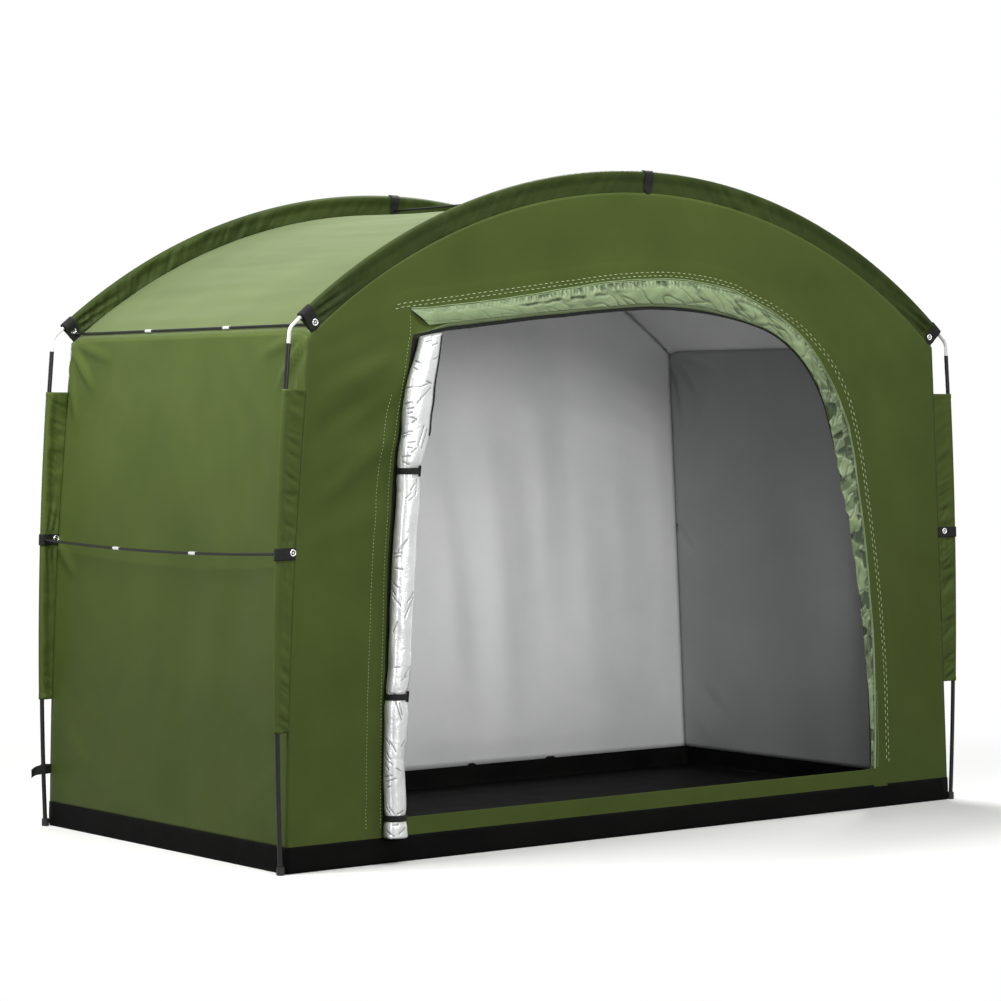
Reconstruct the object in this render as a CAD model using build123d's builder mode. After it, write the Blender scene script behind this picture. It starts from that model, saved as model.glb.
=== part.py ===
from build123d import *
import os
from math import atan2, asin, cos, degrees, hypot, radians, sin, sqrt

# A fabric bike shelter: two sprung hoops stand outside the cloth and carry it by sleeves and straps.
# X runs along the front, Y to the rear, Z up. The origin is the middle of the floor at ground level.

# Hoops, one at the front and one at the rear
arch_radius = 1780.0  # arch pole centreline, struck from the origin
bend_half_width = 1165.0  # pole centreline where the elbow turns
foot_half_width = 1195.0
leg_bow = 22.0  # how far a leg springs outwards at half height
hoop_half_depth = 575.0
pole_diameter = 12.0
pole_wall = 0.8
elbow_diameter = 9.6  # a bent bar that plugs into the ends of the poles
elbow_turn = 32.0  # radius of the bend
elbow_drop = 38.0  # bare reach below the bend
elbow_rise = 42.0  # bare reach along the arch
elbow_plug = 20.0  # how deep it goes into each pole
cap_diameter = 20.0
cap_bore = 15.2
cap_height = 20.0
cap_base = 4.0
leg_foot = 5.0  # the cut end of a leg, just clear of the base of its cap

# Cloth body
cloth = 3.0  # modelled thickness of every sheet
gap = 0.3  # air between pieces that are only sewn or strapped together
roof_radius = 1730.0  # outer face of the roof, about the same centre as the arches
eave_half_width = 1105.0
floor_half_width = 1180.0
tub_height = 66.0  # turned-up edge of the groundsheet

# Doorway in the front wall: a straight left jamb, a shallow top and one round shoulder
sill_height = 112.0
door_crown = (48.0, 1425.0)
door_top_radius, door_top_sweep = 3880.0, 12.36
shoulder_radius, shoulder_sweep = 1440.0, 14.5
haunch_radius, haunch_sweep = 390.0, 55.5
jamb_radius, jamb_sweep = 2985.0, 20.0
door_left_foot = -873.0
flap_width = 46.0

# Door rolled up beside its left jamb
roll_top = (-760.0, 1332.0)
roll_middle = (-846.0, 705.0)
roll_bottom = (-857.0, 70.0)
roll_half_width, roll_half_depth = 31.0, 25.0
tie_places = (0.27, 0.72, 0.975)  # along the roll from its top
tie_width = 20.0
tie_thickness = 2.0
buckle_width, buckle_height, buckle_rise = 16.0, 27.0, 4.0
buckle_slot = 9.0, 3.2
buckle_turn = 40.0  # how far round from the right flank of the roll towards its front

# Sleeves and webbing
flap_thickness = 4.0
pocket_radius = 8.5  # outside of the pole pocket
pocket_bore = 6.5
sleeve_foot, sleeve_head = 350.0, 1195.0  # ends of a leg sleeve
webbing = 2.0
eave_strap_width, strap_width = 36.0, 30.0
mid_height = 790.0
low_height = 157.0
low_strap_tail = 34.0
stud_radius = 9.0
mid_stud_reach = 24.0  # from the cloth corner out to the snap caps on a mid strap

# Spreader rods between the hoops
rod_radius = 3.5
mid_rod_sag = 12.0
ferrule_radius = 4.7
ferrule_half_length = 15.0
rod_thirds = (0.335, 0.665)
eave_rod_radius, eave_rod_angle = 1743.0, 38.9  # where the eave rods meet the front and rear straps
outer_stud_radius, outer_stud_angle = 1745.0, 38.75

bend_height = sqrt(arch_radius**2 - bend_half_width**2)
bend_angle = degrees(asin(bend_half_width / arch_radius))
eave_height = sqrt(roof_radius**2 - eave_half_width**2)
degrees_per_mm = degrees(1.0 / arch_radius)
sleeve_end_angle = bend_angle - (elbow_rise + 2.0) * degrees_per_mm
wall_face = hoop_half_depth + cloth  # outer face of the front and rear walls
pole_radius = pole_diameter / 2
strap_half = flap_thickness / 2 + webbing  # half thickness of a strapped flap
corners = {"front_left": (-1, -1), "front_right": (1, -1), "rear_left": (-1, 1), "rear_right": (1, 1)}
ends = {"front": -1, "rear": 1}

# Each leg follows one shallow arc through its foot and the bend
chord = hypot(foot_half_width - bend_half_width, bend_height)
leg_radius = (chord**2 / 4 + leg_bow**2) / (2 * leg_bow)
leg_centre_x = (foot_half_width + bend_half_width) / 2 - (leg_radius - leg_bow) * bend_height / chord
leg_centre_z = bend_height / 2 - (leg_radius - leg_bow) * (foot_half_width - bend_half_width) / chord

os.makedirs("parts", exist_ok=True)


def save(piece, name):
    piece.part.label = name
    export_step(piece.part, f"parts/{name}.step")


def wall_x(z):
    return floor_half_width - (floor_half_width - eave_half_width) * z / eave_height


def leg_x(z):
    return leg_centre_x + sqrt(leg_radius**2 - (z - leg_centre_z) ** 2)


def leg_angle(z):
    return degrees(atan2(leg_x(z) - leg_centre_x, z - leg_centre_z))


def arch_point(radius, angle):
    return radius * sin(radians(angle)), radius * cos(radians(angle))


def round_arc(centre_x, centre_z, radius, y, start, stop, outer, inner=0.0, mode=Mode.ADD):
    # A round bar or tube bent along an arc, with angles from straight up towards +X
    start, stop = sorted((start, stop))
    outward = Vector(sin(radians(start)), 0, cos(radians(start)))
    forward = Vector(cos(radians(start)), 0, -sin(radians(start)))
    centre = Vector(centre_x, y, centre_z)
    with BuildSketch(Plane(centre + outward * radius, x_dir=outward, z_dir=forward)) as section:
        Circle(outer)
        if inner:
            Circle(inner, mode=Mode.SUBTRACT)
    revolve(section.sketch, axis=Axis(centre, (0, 1, 0)), revolution_arc=stop - start, mode=mode)


def leg_arc(side, end, low, high, outer, inner=0.0, mode=Mode.ADD):
    y = end * hoop_half_depth
    span = (side * leg_angle(low), side * leg_angle(high))
    round_arc(side * leg_centre_x, leg_centre_z, leg_radius, y, *span, outer, inner, mode)


def leg_flap(side, end, low, high, half_thickness, mode=Mode.ADD):
    # The flat of a leg sleeve, from the cloth corner out to the pole
    middle = (low + high) / 2
    with BuildSketch(Plane.XZ.offset(-end * hoop_half_depth)) as flat:
        with BuildLine():
            ThreePointArc(*[(side * leg_x(z), z) for z in (low, middle, high)])
            inner = [(side * (wall_x(z) + gap), z) for z in (low, high)]
            Polyline((side * leg_x(low), low), inner[0], inner[1], (side * leg_x(high), high))
        make_face()
    extrude(flat.sketch, amount=half_thickness, both=True, mode=mode)


def arch_flap(end, start, stop, half_thickness, lift=gap, mode=Mode.ADD):
    # The flat of an arch sleeve, from the roof edge out to the pole
    middle = (start + stop) / 2
    with BuildSketch(Plane.XZ.offset(-end * hoop_half_depth)) as flat:
        with BuildLine():
            outer = ThreePointArc(*[arch_point(arch_radius, a) for a in (start, middle, stop)])
            inner = ThreePointArc(*[arch_point(roof_radius + lift, a) for a in (start, middle, stop)])
            Line(outer @ 0, inner @ 0)
            Line(outer @ 1, inner @ 1)
        make_face()
    extrude(flat.sketch, amount=half_thickness, both=True, mode=mode)


def arch_strap(name, end, start, stop):
    y = end * hoop_half_depth
    pad = 1.0
    with BuildPart() as strap:
        arch_flap(end, start, stop, strap_half)
        round_arc(0, 0, arch_radius, y, start, stop, pocket_radius + webbing)
        arch_flap(end, start - pad, stop + pad, flap_thickness / 2 + gap, 0.0, Mode.SUBTRACT)
        round_arc(0, 0, arch_radius, y, start - pad, stop + pad, pocket_radius + gap, mode=Mode.SUBTRACT)
    save(strap, name)


def door_arcs(grow):
    # The doorway's curved edge, or a line parallel to it, from the top left corner to the right foot
    crown = (door_crown[0], door_crown[1] + grow)
    top = JernArc(crown, (-1, 0), door_top_radius + grow, door_top_sweep)
    shoulder = JernArc(crown, (1, 0), shoulder_radius + grow, -shoulder_sweep)
    haunch = JernArc(shoulder @ 1, shoulder % 1, haunch_radius + grow, -haunch_sweep)
    jamb = JernArc(haunch @ 1, haunch % 1, jamb_radius + grow, -jamb_sweep)
    return top @ 1, jamb @ 1


def end_wall(name, end, doorway):
    with BuildPart() as wall:
        with BuildSketch(Plane.XZ.offset(-end * hoop_half_depth)):
            foot = tub_height + gap
            with BuildLine():
                sides = [(wall_x(foot), foot), (eave_half_width, eave_height)]
                Polyline(sides[1], sides[0], (-sides[0][0], foot), (-sides[1][0], eave_height))
                ThreePointArc(sides[1], (0, roof_radius), (-sides[1][0], eave_height))
            make_face()
            if doorway:
                with BuildLine():
                    left, right = door_arcs(0.0)
                    Polyline(left, (door_left_foot, sill_height), (right.X, sill_height), right)
                make_face(mode=Mode.SUBTRACT)
        extrude(amount=-end * cloth)
    save(wall, name)


# Legs, elbows and foot caps
for corner, (side, end) in corners.items():
    with BuildPart() as leg:
        leg_arc(side, end, leg_foot, bend_height - elbow_drop, pole_radius, pole_radius - pole_wall)
    save(leg, f"{corner}_leg")

    y = end * hoop_half_depth
    low = bend_height - elbow_drop - elbow_plug
    high_x, high_z = arch_point(arch_radius, bend_angle - (elbow_rise + elbow_plug) * degrees_per_mm)
    with BuildPart() as elbow:
        with BuildLine() as bend:
            FilletPolyline(
                (side * leg_x(low), y, low),
                (side * bend_half_width, y, bend_height),
                (side * high_x, y, high_z),
                radius=elbow_turn,
            )
        with BuildSketch(Plane(bend.line @ 0, z_dir=bend.line % 0)):
            Circle(elbow_diameter / 2)
        sweep(path=bend.line)
    save(elbow, f"{corner}_elbow")

with BuildPart() as foot_caps:
    with BuildSketch():
        with GridLocations(2 * foot_half_width, 2 * hoop_half_depth, 2, 2):
            Circle(cap_diameter / 2)
    extrude(amount=cap_height)
    with BuildSketch(Plane.XY.offset(cap_base)):
        with GridLocations(2 * foot_half_width, 2 * hoop_half_depth, 2, 2):
            Circle(cap_bore / 2)
    extrude(amount=cap_height, mode=Mode.SUBTRACT)
save(foot_caps, "foot_caps")

# Arch poles, their sleeves and the straps along them
arch_end_angle = bend_angle - elbow_rise * degrees_per_mm
eave_strap_sweep = eave_strap_width * degrees_per_mm
crown_strap_angle = strap_width * degrees_per_mm / 2
for end_name, end in ends.items():
    y = end * hoop_half_depth
    with BuildPart() as pole:
        round_arc(0, 0, arch_radius, y, -arch_end_angle, arch_end_angle, pole_radius,
                  pole_radius - pole_wall)
    save(pole, f"{end_name}_arch_pole")

    with BuildPart() as sleeve:
        arch_flap(end, -sleeve_end_angle, sleeve_end_angle, flap_thickness / 2)
        round_arc(0, 0, arch_radius, y, -sleeve_end_angle, sleeve_end_angle, pocket_radius)
        round_arc(0, 0, arch_radius, y, -bend_angle, bend_angle, pocket_bore, mode=Mode.SUBTRACT)
    save(sleeve, f"{end_name}_arch_sleeve")

    strap_stop = sleeve_end_angle - eave_strap_sweep
    arch_strap(f"{end_name}_left_eave_strap", end, -sleeve_end_angle, -strap_stop)
    arch_strap(f"{end_name}_right_eave_strap", end, strap_stop, sleeve_end_angle)
    arch_strap(f"{end_name}_crown_strap", end, -crown_strap_angle, crown_strap_angle)

# Leg sleeves and the straps at half height
mid_span = (mid_height - strap_width / 2, mid_height + strap_width / 2)
for corner, (side, end) in corners.items():
    with BuildPart() as sleeve:
        leg_flap(side, end, sleeve_foot, sleeve_head, flap_thickness / 2)
        leg_arc(side, end, sleeve_foot, sleeve_head, pocket_radius)
        leg_arc(side, end, tub_height, bend_height, pocket_bore, mode=Mode.SUBTRACT)
    save(sleeve, f"{corner}_leg_sleeve")

    with BuildPart() as strap:
        leg_flap(side, end, *mid_span, strap_half)
        leg_arc(side, end, *mid_span, pocket_radius + webbing)
        leg_flap(side, end, sleeve_foot, sleeve_head, flap_thickness / 2 + gap, Mode.SUBTRACT)
        leg_arc(side, end, sleeve_foot, sleeve_head, pocket_radius + gap, mode=Mode.SUBTRACT)
    save(strap, f"{corner}_mid_strap")

# Straps low on the rear legs, each with a short free tail
low_span = (low_height - strap_width / 2, low_height + strap_width / 2)
for corner in ("rear_left", "rear_right"):
    side, end = corners[corner]
    with BuildPart() as strap:
        leg_flap(side, end, *low_span, webbing)
        leg_arc(side, end, *low_span, pole_radius + gap + webbing)
        with BuildSketch(Plane.XZ.offset(-end * hoop_half_depth)):
            tail_middle = side * (leg_x(low_height) + low_strap_tail / 2)
            with Locations((tail_middle, low_height)):
                Rectangle(low_strap_tail, strap_width)
        extrude(amount=webbing / 2, both=True)
        leg_arc(side, end, tub_height, sleeve_foot, pole_radius + gap, mode=Mode.SUBTRACT)
    save(strap, f"{corner}_low_strap")

# Bright snap caps on both faces of the eave and mid straps, inside an eave strap just above the rod's end
inner_stud_radius = eave_rod_radius + rod_radius + stud_radius + gap
mid_stud_x = wall_x(mid_height) + mid_stud_reach
stud_rim, stud_height, stud_dish, button_height = 1.4, 3.4, 1.2, 2.6
dish_radius, button_radius = 0.6 * stud_radius, 0.3 * stud_radius
with BuildPart() as strap_studs:
    for end in ends.values():
        for facing in (-1, 1):
            if facing == end:
                spot_x, spot_z = arch_point(outer_stud_radius, outer_stud_angle)
            else:
                spot_x, spot_z = arch_point(inner_stud_radius, eave_rod_angle)
            for x, z in ((spot_x, spot_z), (mid_stud_x, mid_height + 3)):
                for side in (-1, 1):
                    seat = Vector(side * x, end * hoop_half_depth + facing * strap_half, z)
                    with BuildSketch(Plane(seat, x_dir=(1, 0, 0), z_dir=(0, 0, facing))):
                        with BuildLine():
                            Polyline((0, button_height), (0, 0), (stud_radius, 0), (stud_radius, stud_rim))
                            ThreePointArc((stud_radius, stud_rim), (0.82 * stud_radius, stud_height),
                                          (dish_radius, stud_dish))
                            Polyline((dish_radius, stud_dish), (button_radius, stud_dish),
                                     (button_radius, button_height), (0, button_height))
                        make_face()
                    revolve(axis=Axis(seat, (0, facing, 0)))
save(strap_studs, "strap_studs")

# Spreader rods and the ferrules at their joints
strap_back = hoop_half_depth - strap_half  # straps face the rods here
pocket_back = hoop_half_depth - pocket_radius - webbing - gap
eave_x, eave_z = arch_point(eave_rod_radius, eave_rod_angle)
rods = {"ridge_rod": (0.0, eave_rod_radius, strap_back, 0.0)}
for side_name, side in {"left": -1, "right": 1}.items():
    rods[f"{side_name}_eave_rod"] = (side * eave_x, eave_z, strap_back, 0.0)
    rods[f"{side_name}_mid_rod"] = (side * leg_x(mid_height), mid_height, pocket_back, mid_rod_sag)
rod_lines = {}
for rod_name, (x, z, reach, sag) in rods.items():
    if sag:
        rod_lines[rod_name] = ThreePointArc((x, -reach, z), (x, 0, z - sag), (x, reach, z))
    else:
        rod_lines[rod_name] = Line((x, -reach, z), (x, reach, z))

for rod_name, line in rod_lines.items():
    with BuildPart() as rod:
        with BuildSketch(Plane(line @ 0, z_dir=line % 0)):
            Circle(rod_radius)
        sweep(path=line)
    save(rod, rod_name)

with BuildPart() as rod_ferrules:
    for line in rod_lines.values():
        for third in rod_thirds:
            with BuildSketch(Plane(line @ third, z_dir=line % third)):
                Circle(ferrule_radius)
                Circle(rod_radius + gap / 2, mode=Mode.SUBTRACT)
            extrude(amount=ferrule_half_length, both=True)
save(rod_ferrules, "rod_ferrules")

# Roof and side walls
with BuildPart() as roof_canopy:
    with BuildSketch(Plane.XZ.offset(-hoop_half_depth)):
        roof_angle = degrees(asin(eave_half_width / roof_radius))
        with BuildLine():
            outer = ThreePointArc(*[arch_point(roof_radius, a) for a in (-roof_angle, 0, roof_angle)])
            inner = ThreePointArc(*[arch_point(roof_radius - cloth, a) for a in (-roof_angle, 0, roof_angle)])
            Line(outer @ 0, inner @ 0)
            Line(outer @ 1, inner @ 1)
        make_face()
    extrude(amount=2 * hoop_half_depth)
save(roof_canopy, "roof_canopy")

wall_head = eave_height - cloth
for side_name, side in {"left": -1, "right": 1}.items():
    with BuildPart() as side_wall:
        with BuildSketch(Plane.XZ.offset(-hoop_half_depth)):
            with BuildLine():
                foot = tub_height + gap
                outside = [(side * wall_x(z), z) for z in (foot, wall_head)]
                inside = [(side * (wall_x(z) - cloth), z) for z in (wall_head, foot)]
                Polyline(*outside, *inside, close=True)
            make_face()
        extrude(amount=2 * hoop_half_depth)
    save(side_wall, f"{side_name}_wall")

# Front wall with its doorway, and the closed rear wall
end_wall("front_wall", ends["front"], True)
end_wall("rear_wall", ends["rear"], False)

# Groundsheet turned up all round into a tub
with BuildPart() as tub_floor:
    with BuildSketch(Plane.XZ.offset(-wall_face)):
        with BuildLine():
            outside = [(wall_x(z), z) for z in (0.0, tub_height)]
            Polyline(*outside, *[(-x, z) for x, z in reversed(outside)], close=True)
        make_face()
    extrude(amount=2 * wall_face)
    with BuildSketch(Plane.XZ.offset(-hoop_half_depth)):
        with BuildLine():
            inside = [(wall_x(z) - cloth, z) for z in (cloth, tub_height + cloth)]
            Polyline(*inside, *[(-x, z) for x, z in reversed(inside)], close=True)
        make_face()
    extrude(amount=2 * hoop_half_depth, mode=Mode.SUBTRACT)
save(tub_floor, "tub_floor")

# Weather flap sewn round the top and right of the doorway
with BuildPart() as door_weather_flap:
    with BuildSketch(Plane.XZ.offset(wall_face + gap)):
        with BuildLine():
            inner_left, inner_right = door_arcs(0.0)
            outer_left, outer_right = door_arcs(flap_width)
            Line(inner_left, outer_left)
            Line(inner_right, outer_right)
        make_face()
    extrude(amount=cloth)
save(door_weather_flap, "door_weather_flap")

# Rolled door and the ties round it
roll_y = -(wall_face + gap + roll_half_depth)
roll_line = ThreePointArc(*[(x, roll_y, z) for x, z in (roll_top, roll_middle, roll_bottom)])


def roll_section(place):
    return Plane(roll_line @ place, x_dir=(0, 1, 0), z_dir=roll_line % place)


with BuildPart() as door_roll:
    with BuildSketch(roll_section(0)):
        Ellipse(roll_half_depth, roll_half_width)
    sweep(path=roll_line)
save(door_roll, "door_roll")

with BuildPart() as door_roll_ties:
    for place in tie_places:
        with BuildSketch(roll_section(place)):
            grow = gap + tie_thickness
            Ellipse(roll_half_depth + grow, roll_half_width + grow)
            Ellipse(roll_half_depth + gap, roll_half_width + gap, mode=Mode.SUBTRACT)
        extrude(amount=tie_width / 2, both=True)
    # Each tie is open at the back, where its ends are sewn to the jamb
    with BuildSketch(Plane.XZ.offset(wall_face + gap)):
        with Locations((roll_middle[0], (roll_top[1] + roll_bottom[1]) / 2)):
            Rectangle(floor_half_width, roof_radius)
    extrude(amount=-wall_face, mode=Mode.SUBTRACT)
    # A slotted buckle on each of the two upper ties
    for place in tie_places[:2]:
        turn = radians(buckle_turn)
        wide, deep = roll_half_width + grow, roll_half_depth + grow
        along = roll_line % place
        right, front = Vector(-along.Z, 0, along.X), Vector(0, -1, 0)
        out = (right * (cos(turn) / wide) + front * (sin(turn) / deep)).normalized()
        seat = roll_line @ place + right * (wide * cos(turn)) + front * (deep * sin(turn))
        buckle_root = tie_thickness * 0.65  # sunk into the tie, short of the roll
        with BuildSketch(Plane(seat - out * buckle_root, x_dir=along, z_dir=out)):
            RectangleRounded(buckle_height, buckle_width, 3.0)
        extrude(amount=buckle_root + buckle_rise)
        with BuildSketch(Plane(seat + out * (buckle_rise / 4), x_dir=along, z_dir=out)):
            with GridLocations(buckle_height / 2, 0, 2, 1):
                Rectangle(buckle_slot[1], buckle_slot[0])
        extrude(amount=buckle_rise, mode=Mode.SUBTRACT)
save(door_roll_ties, "door_roll_ties")
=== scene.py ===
import math
import bmesh
import bpy
from mathutils import Matrix, Vector, kdtree, noise


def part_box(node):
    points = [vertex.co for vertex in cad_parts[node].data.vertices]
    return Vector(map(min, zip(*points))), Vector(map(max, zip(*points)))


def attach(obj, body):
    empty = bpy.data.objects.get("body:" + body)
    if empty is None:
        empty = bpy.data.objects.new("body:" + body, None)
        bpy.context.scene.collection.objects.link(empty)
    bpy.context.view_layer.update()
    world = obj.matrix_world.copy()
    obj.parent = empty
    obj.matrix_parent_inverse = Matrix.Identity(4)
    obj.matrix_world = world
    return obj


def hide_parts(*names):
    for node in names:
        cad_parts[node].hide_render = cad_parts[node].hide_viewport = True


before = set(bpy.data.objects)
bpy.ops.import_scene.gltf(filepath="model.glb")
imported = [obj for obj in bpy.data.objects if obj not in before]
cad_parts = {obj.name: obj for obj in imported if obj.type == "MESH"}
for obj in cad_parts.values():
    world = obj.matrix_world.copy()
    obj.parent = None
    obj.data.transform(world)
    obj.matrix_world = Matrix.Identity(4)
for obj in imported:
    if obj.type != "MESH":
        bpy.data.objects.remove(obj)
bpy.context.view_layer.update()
scene = bpy.context.scene
print("frame loaded with", len(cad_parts), "nodes")

# Sizes in metres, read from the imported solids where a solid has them
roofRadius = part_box("roof_canopy")[1].z
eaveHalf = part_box("roof_canopy")[1].x
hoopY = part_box("roof_canopy")[1].y
floorHalf, wallFace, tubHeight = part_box("tub_floor")[1]
poleRadius = 0.006
capRadius = 0.010
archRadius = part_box("front_arch_pole")[1].z - poleRadius
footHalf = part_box("foot_caps")[1].x - capRadius
bendHalf = 1.165  # pole centre where the elbow turns
legBow = 0.022  # spring of a leg at half height
sleeveFoot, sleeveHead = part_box("front_left_leg_sleeve")[0].z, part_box("front_left_leg_sleeve")[1].z
midHeight = 0.790
lowHeight = 0.157
cornerBow = {-1: 0.017, 1: 0.002}  # the sewn corners spring outwards at half height, the left ones more

eaveHeight = math.sqrt(roofRadius ** 2 - eaveHalf ** 2)
roofAngle = math.asin(eaveHalf / roofRadius)
bendHeight = math.sqrt(archRadius ** 2 - bendHalf ** 2)
archEnd = math.asin(bendHalf / archRadius) - 0.044 / archRadius  # where an arch sleeve stops
legChord = math.hypot(footHalf - bendHalf, bendHeight)
legRadius = (legChord ** 2 / 4 + legBow ** 2) / (2 * legBow)
legCentreX = (footHalf + bendHalf) / 2 - (legRadius - legBow) * bendHeight / legChord
legCentreZ = bendHeight / 2 - (legRadius - legBow) * (footHalf - bendHalf) / legChord


def wallX(z, side):
    straight = floorHalf - (floorHalf - eaveHalf) * z / eaveHeight
    return straight + cornerBow[side] * math.sin(math.pi * min(1.0, max(0.0, z / eaveHeight)))


def legX(z):
    return legCentreX + math.sqrt(legRadius ** 2 - (z - legCentreZ) ** 2)


def smoothStep(x, low, high):
    t = min(1.0, max(0.0, (x - low) / (high - low)))
    return t * t * (3 - 2 * t)


def readTable(table, place):
    for (start, first), (stop, last) in zip(table, table[1:]):
        if place <= stop:
            return first + (last - first) * max(0.0, (place - start) / (stop - start))
    return table[-1][1]


def noiseAt(a, b, c):
    return noise.noise(Vector((a, b, c)))


# Folds: long swells laid along a heading, and single creases drawn between two points
def makeFold(at, turn, run, pitch, deep, reach, seed):
    return {"at": at, "turn": turn, "run": run, "pitch": pitch, "deep": deep, "reach": reach, "seed": seed}


def makeCrease(start, stop, wide, deep):
    return {"from": start, "to": stop, "wide": wide, "deep": deep}


def foldHeight(a, b, folds):
    total = 0.0
    for fold in folds:
        turn = math.radians(fold["turn"])
        da, db = a - fold["at"][0], b - fold["at"][1]
        along = da * math.cos(turn) + db * math.sin(turn)
        across = db * math.cos(turn) - da * math.sin(turn)
        swell = noiseAt(along / fold["run"], across / fold["pitch"], fold["seed"])
        total += fold["deep"] * swell * math.exp(-(da * da + db * db) / fold["reach"] ** 2)
    return total


def creaseHeight(a, b, creases):
    total = 0.0
    for crease in creases:
        (a0, b0), (a1, b1) = crease["from"], crease["to"]
        length = math.hypot(a1 - a0, b1 - b0)
        ua, ub = (a1 - a0) / length, (b1 - b0) / length
        along = ((a - a0) * ua + (b - b0) * ub) / length
        if along <= 0.0 or along >= 1.0:
            continue
        across = ((b - b0) * ua - (a - a0) * ub) / crease["wide"]
        total += crease["deep"] * math.sin(math.pi * along) * (1 - across) * math.exp(-across * across)
    return total


# Materials
def toLinear(hexCode):
    parts = [int(hexCode[i:i + 2], 16) / 255 for i in (1, 3, 5)]
    return [p / 12.92 if p <= 0.04045 else ((p + 0.055) / 1.055) ** 2.4 for p in parts] + [1.0]


def addNode(tree, kind, settings=None, links=None):
    node = tree.nodes.new("ShaderNode" + kind)
    for key, value in (settings or {}).items():
        if isinstance(key, int) or key in node.inputs:
            node.inputs[key].default_value = value
        else:
            setattr(node, key, value)
    for key, socket in (links or {}).items():
        tree.links.new(socket, node.inputs[key])
    return node


def startMaterial(name, settings):
    material = bpy.data.materials.new(name)
    material.use_nodes = True
    tree = material.node_tree
    tree.nodes.clear()
    surface = addNode(tree, "BsdfPrincipled", settings)
    addNode(tree, "OutputMaterial", links={"Surface": surface.outputs["BSDF"]})
    return material, tree, surface


def bandScale(pitchMm):
    return math.pi / 10 / (pitchMm / 1000)  # a Wave texture repeats every pi / (10 x scale)


def grainScale(sizeMm):
    return 1000 / sizeMm


def shadeBetween(tree, source, dark, light, low=0.3, high=0.7):
    shade = addNode(tree, "ValToRGB", links={"Fac": source})
    for element, position, colour in zip(shade.color_ramp.elements, (low, high), (dark, light)):
        element.position = position
        element.color = toLinear(colour)
    return shade.outputs["Color"]


def wovenCloth(name, look):
    # Coated woven cloth: soft gloss from the coating, a fine square weave and slow dye and handling marks
    material, tree, surface = startMaterial(name, look["surface"])
    cut = addNode(tree, "UVMap", {"uv_map": "cut"})
    space = addNode(tree, "TexCoord")
    patches = addNode(tree, "TexNoise", {"Scale": grainScale(look["patchMm"]), "Detail": 4.0, "Roughness": 0.55},
                      {"Vector": space.outputs["Object"]})
    tone = shadeBetween(tree, patches.outputs["Fac"], look["dark"], look["light"])
    if "hollowAndPaintedShade" in look:  # painted shade: cloth deep in a fold gets a darker colour, where its neighbours would shade it
        paintedShadeAmount = addNode(tree, "Attribute", {"attribute_name": "hollowAndPaintedShade"})
        deep = addNode(tree, "Mix", {"data_type": "RGBA", 7: toLinear(look["hollowAndPaintedShade"])},
                       {0: paintedShadeAmount.outputs["Fac"], 6: tone})
        tone = deep.outputs[2]
    tree.links.new(tone, surface.inputs["Base Color"])
    weave = []
    for direction in ("X", "Y"):
        threads = addNode(tree, "TexWave", {"bands_direction": direction, "Scale": bandScale(look["weaveMm"]),
                                            "Distortion": 0.6, "Detail": 1.0, "Detail Scale": 0.4},
                          {"Vector": cut.outputs["UV"]})
        weave.append(threads.outputs["Fac"])
    crossed = addNode(tree, "Math", {"operation": "MULTIPLY"}, {0: weave[0], 1: weave[1]})
    crumple = addNode(tree, "TexNoise", {"Scale": grainScale(look["crumpleMm"]), "Detail": 5.0, "Roughness": 0.6,
                                         "Distortion": 0.4}, {"Vector": space.outputs["Object"]})
    fine = addNode(tree, "Bump", {"Strength": look["weaveBump"], "Distance": 0.0006},
                   {"Height": crossed.outputs["Value"]})
    soft = addNode(tree, "Bump", {"Strength": look["crumpleBump"], "Distance": 0.004},
                   {"Height": crumple.outputs["Fac"], "Normal": fine.outputs["Normal"]})
    tree.links.new(soft.outputs["Normal"], surface.inputs["Normal"])
    rough = addNode(tree, "MapRange", {"To Min": look["rough"][0], "To Max": look["rough"][1]},
                    {"Value": patches.outputs["Fac"]})
    tree.links.new(rough.outputs["Result"], surface.inputs["Roughness"])
    return material


# Polyester oxford cloth, dyed olive and coated: satin, so it pales where it is seen at a low angle
greenCloth = wovenCloth("olive_coated_polyester_cloth", {
    "surface": {"Specular IOR Level": 0.07, "IOR": 1.45},
    "dark": "#4a582a", "light": "#536130", "patchMm": 260, "rough": (0.36, 0.46),
    "weaveMm": 5.0, "weaveBump": 0.10, "crumpleMm": 60, "crumpleBump": 0.10,  # 0.4 mm thread, drawn coarse
})
# The same cloth on the roof: its lighter base colour is painted light, and a low view also catches the haze of
# its coating
roofCloth = wovenCloth("olive_coated_polyester_roof_painted_light", {
    "surface": {"Specular IOR Level": 0.14, "IOR": 1.45, "Sheen Weight": 0.14, "Sheen Roughness": 0.4,
                "Sheen Tint": toLinear("#e9eedd")},
    "dark": "#525f36", "light": "#5b683d", "patchMm": 260, "rough": (0.55, 0.65),
    "weaveMm": 5.0, "weaveBump": 0.10, "crumpleMm": 60, "crumpleBump": 0.10,
})
# The same cloth doubled round the arch poles: its darker base colour is painted shade, and it is a little
# rougher
sleeveCloth = wovenCloth("olive_coated_polyester_doubled_painted_shade", {
    "surface": {"Specular IOR Level": 0.1, "IOR": 1.45},
    "dark": "#303b1b", "light": "#3a4620", "patchMm": 180, "rough": (0.46, 0.58),
    "weaveMm": 5.0, "weaveBump": 0.10, "crumpleMm": 40, "crumpleBump": 0.16,
})
# The same cloth where it is gathered into a flap: the pleats turn up to the light, its paler base colour is
# painted light, and its hollow colour is painted shade deep in the folds
flapCloth = wovenCloth("olive_satin_flap_cloth_painted_light_and_shade", {
    "surface": {"Specular IOR Level": 0.6, "IOR": 1.45, "Sheen Weight": 0.3, "Sheen Roughness": 0.35,
                "Sheen Tint": toLinear("#dfe8c8")},
    "dark": "#82966a", "light": "#98ac80", "hollowAndPaintedShade": "#2c3f1b", "patchMm": 60, "rough": (0.30, 0.42),
    "weaveMm": 4.0, "weaveBump": 0.10, "crumpleMm": 22, "crumpleBump": 0.45,
})
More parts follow.
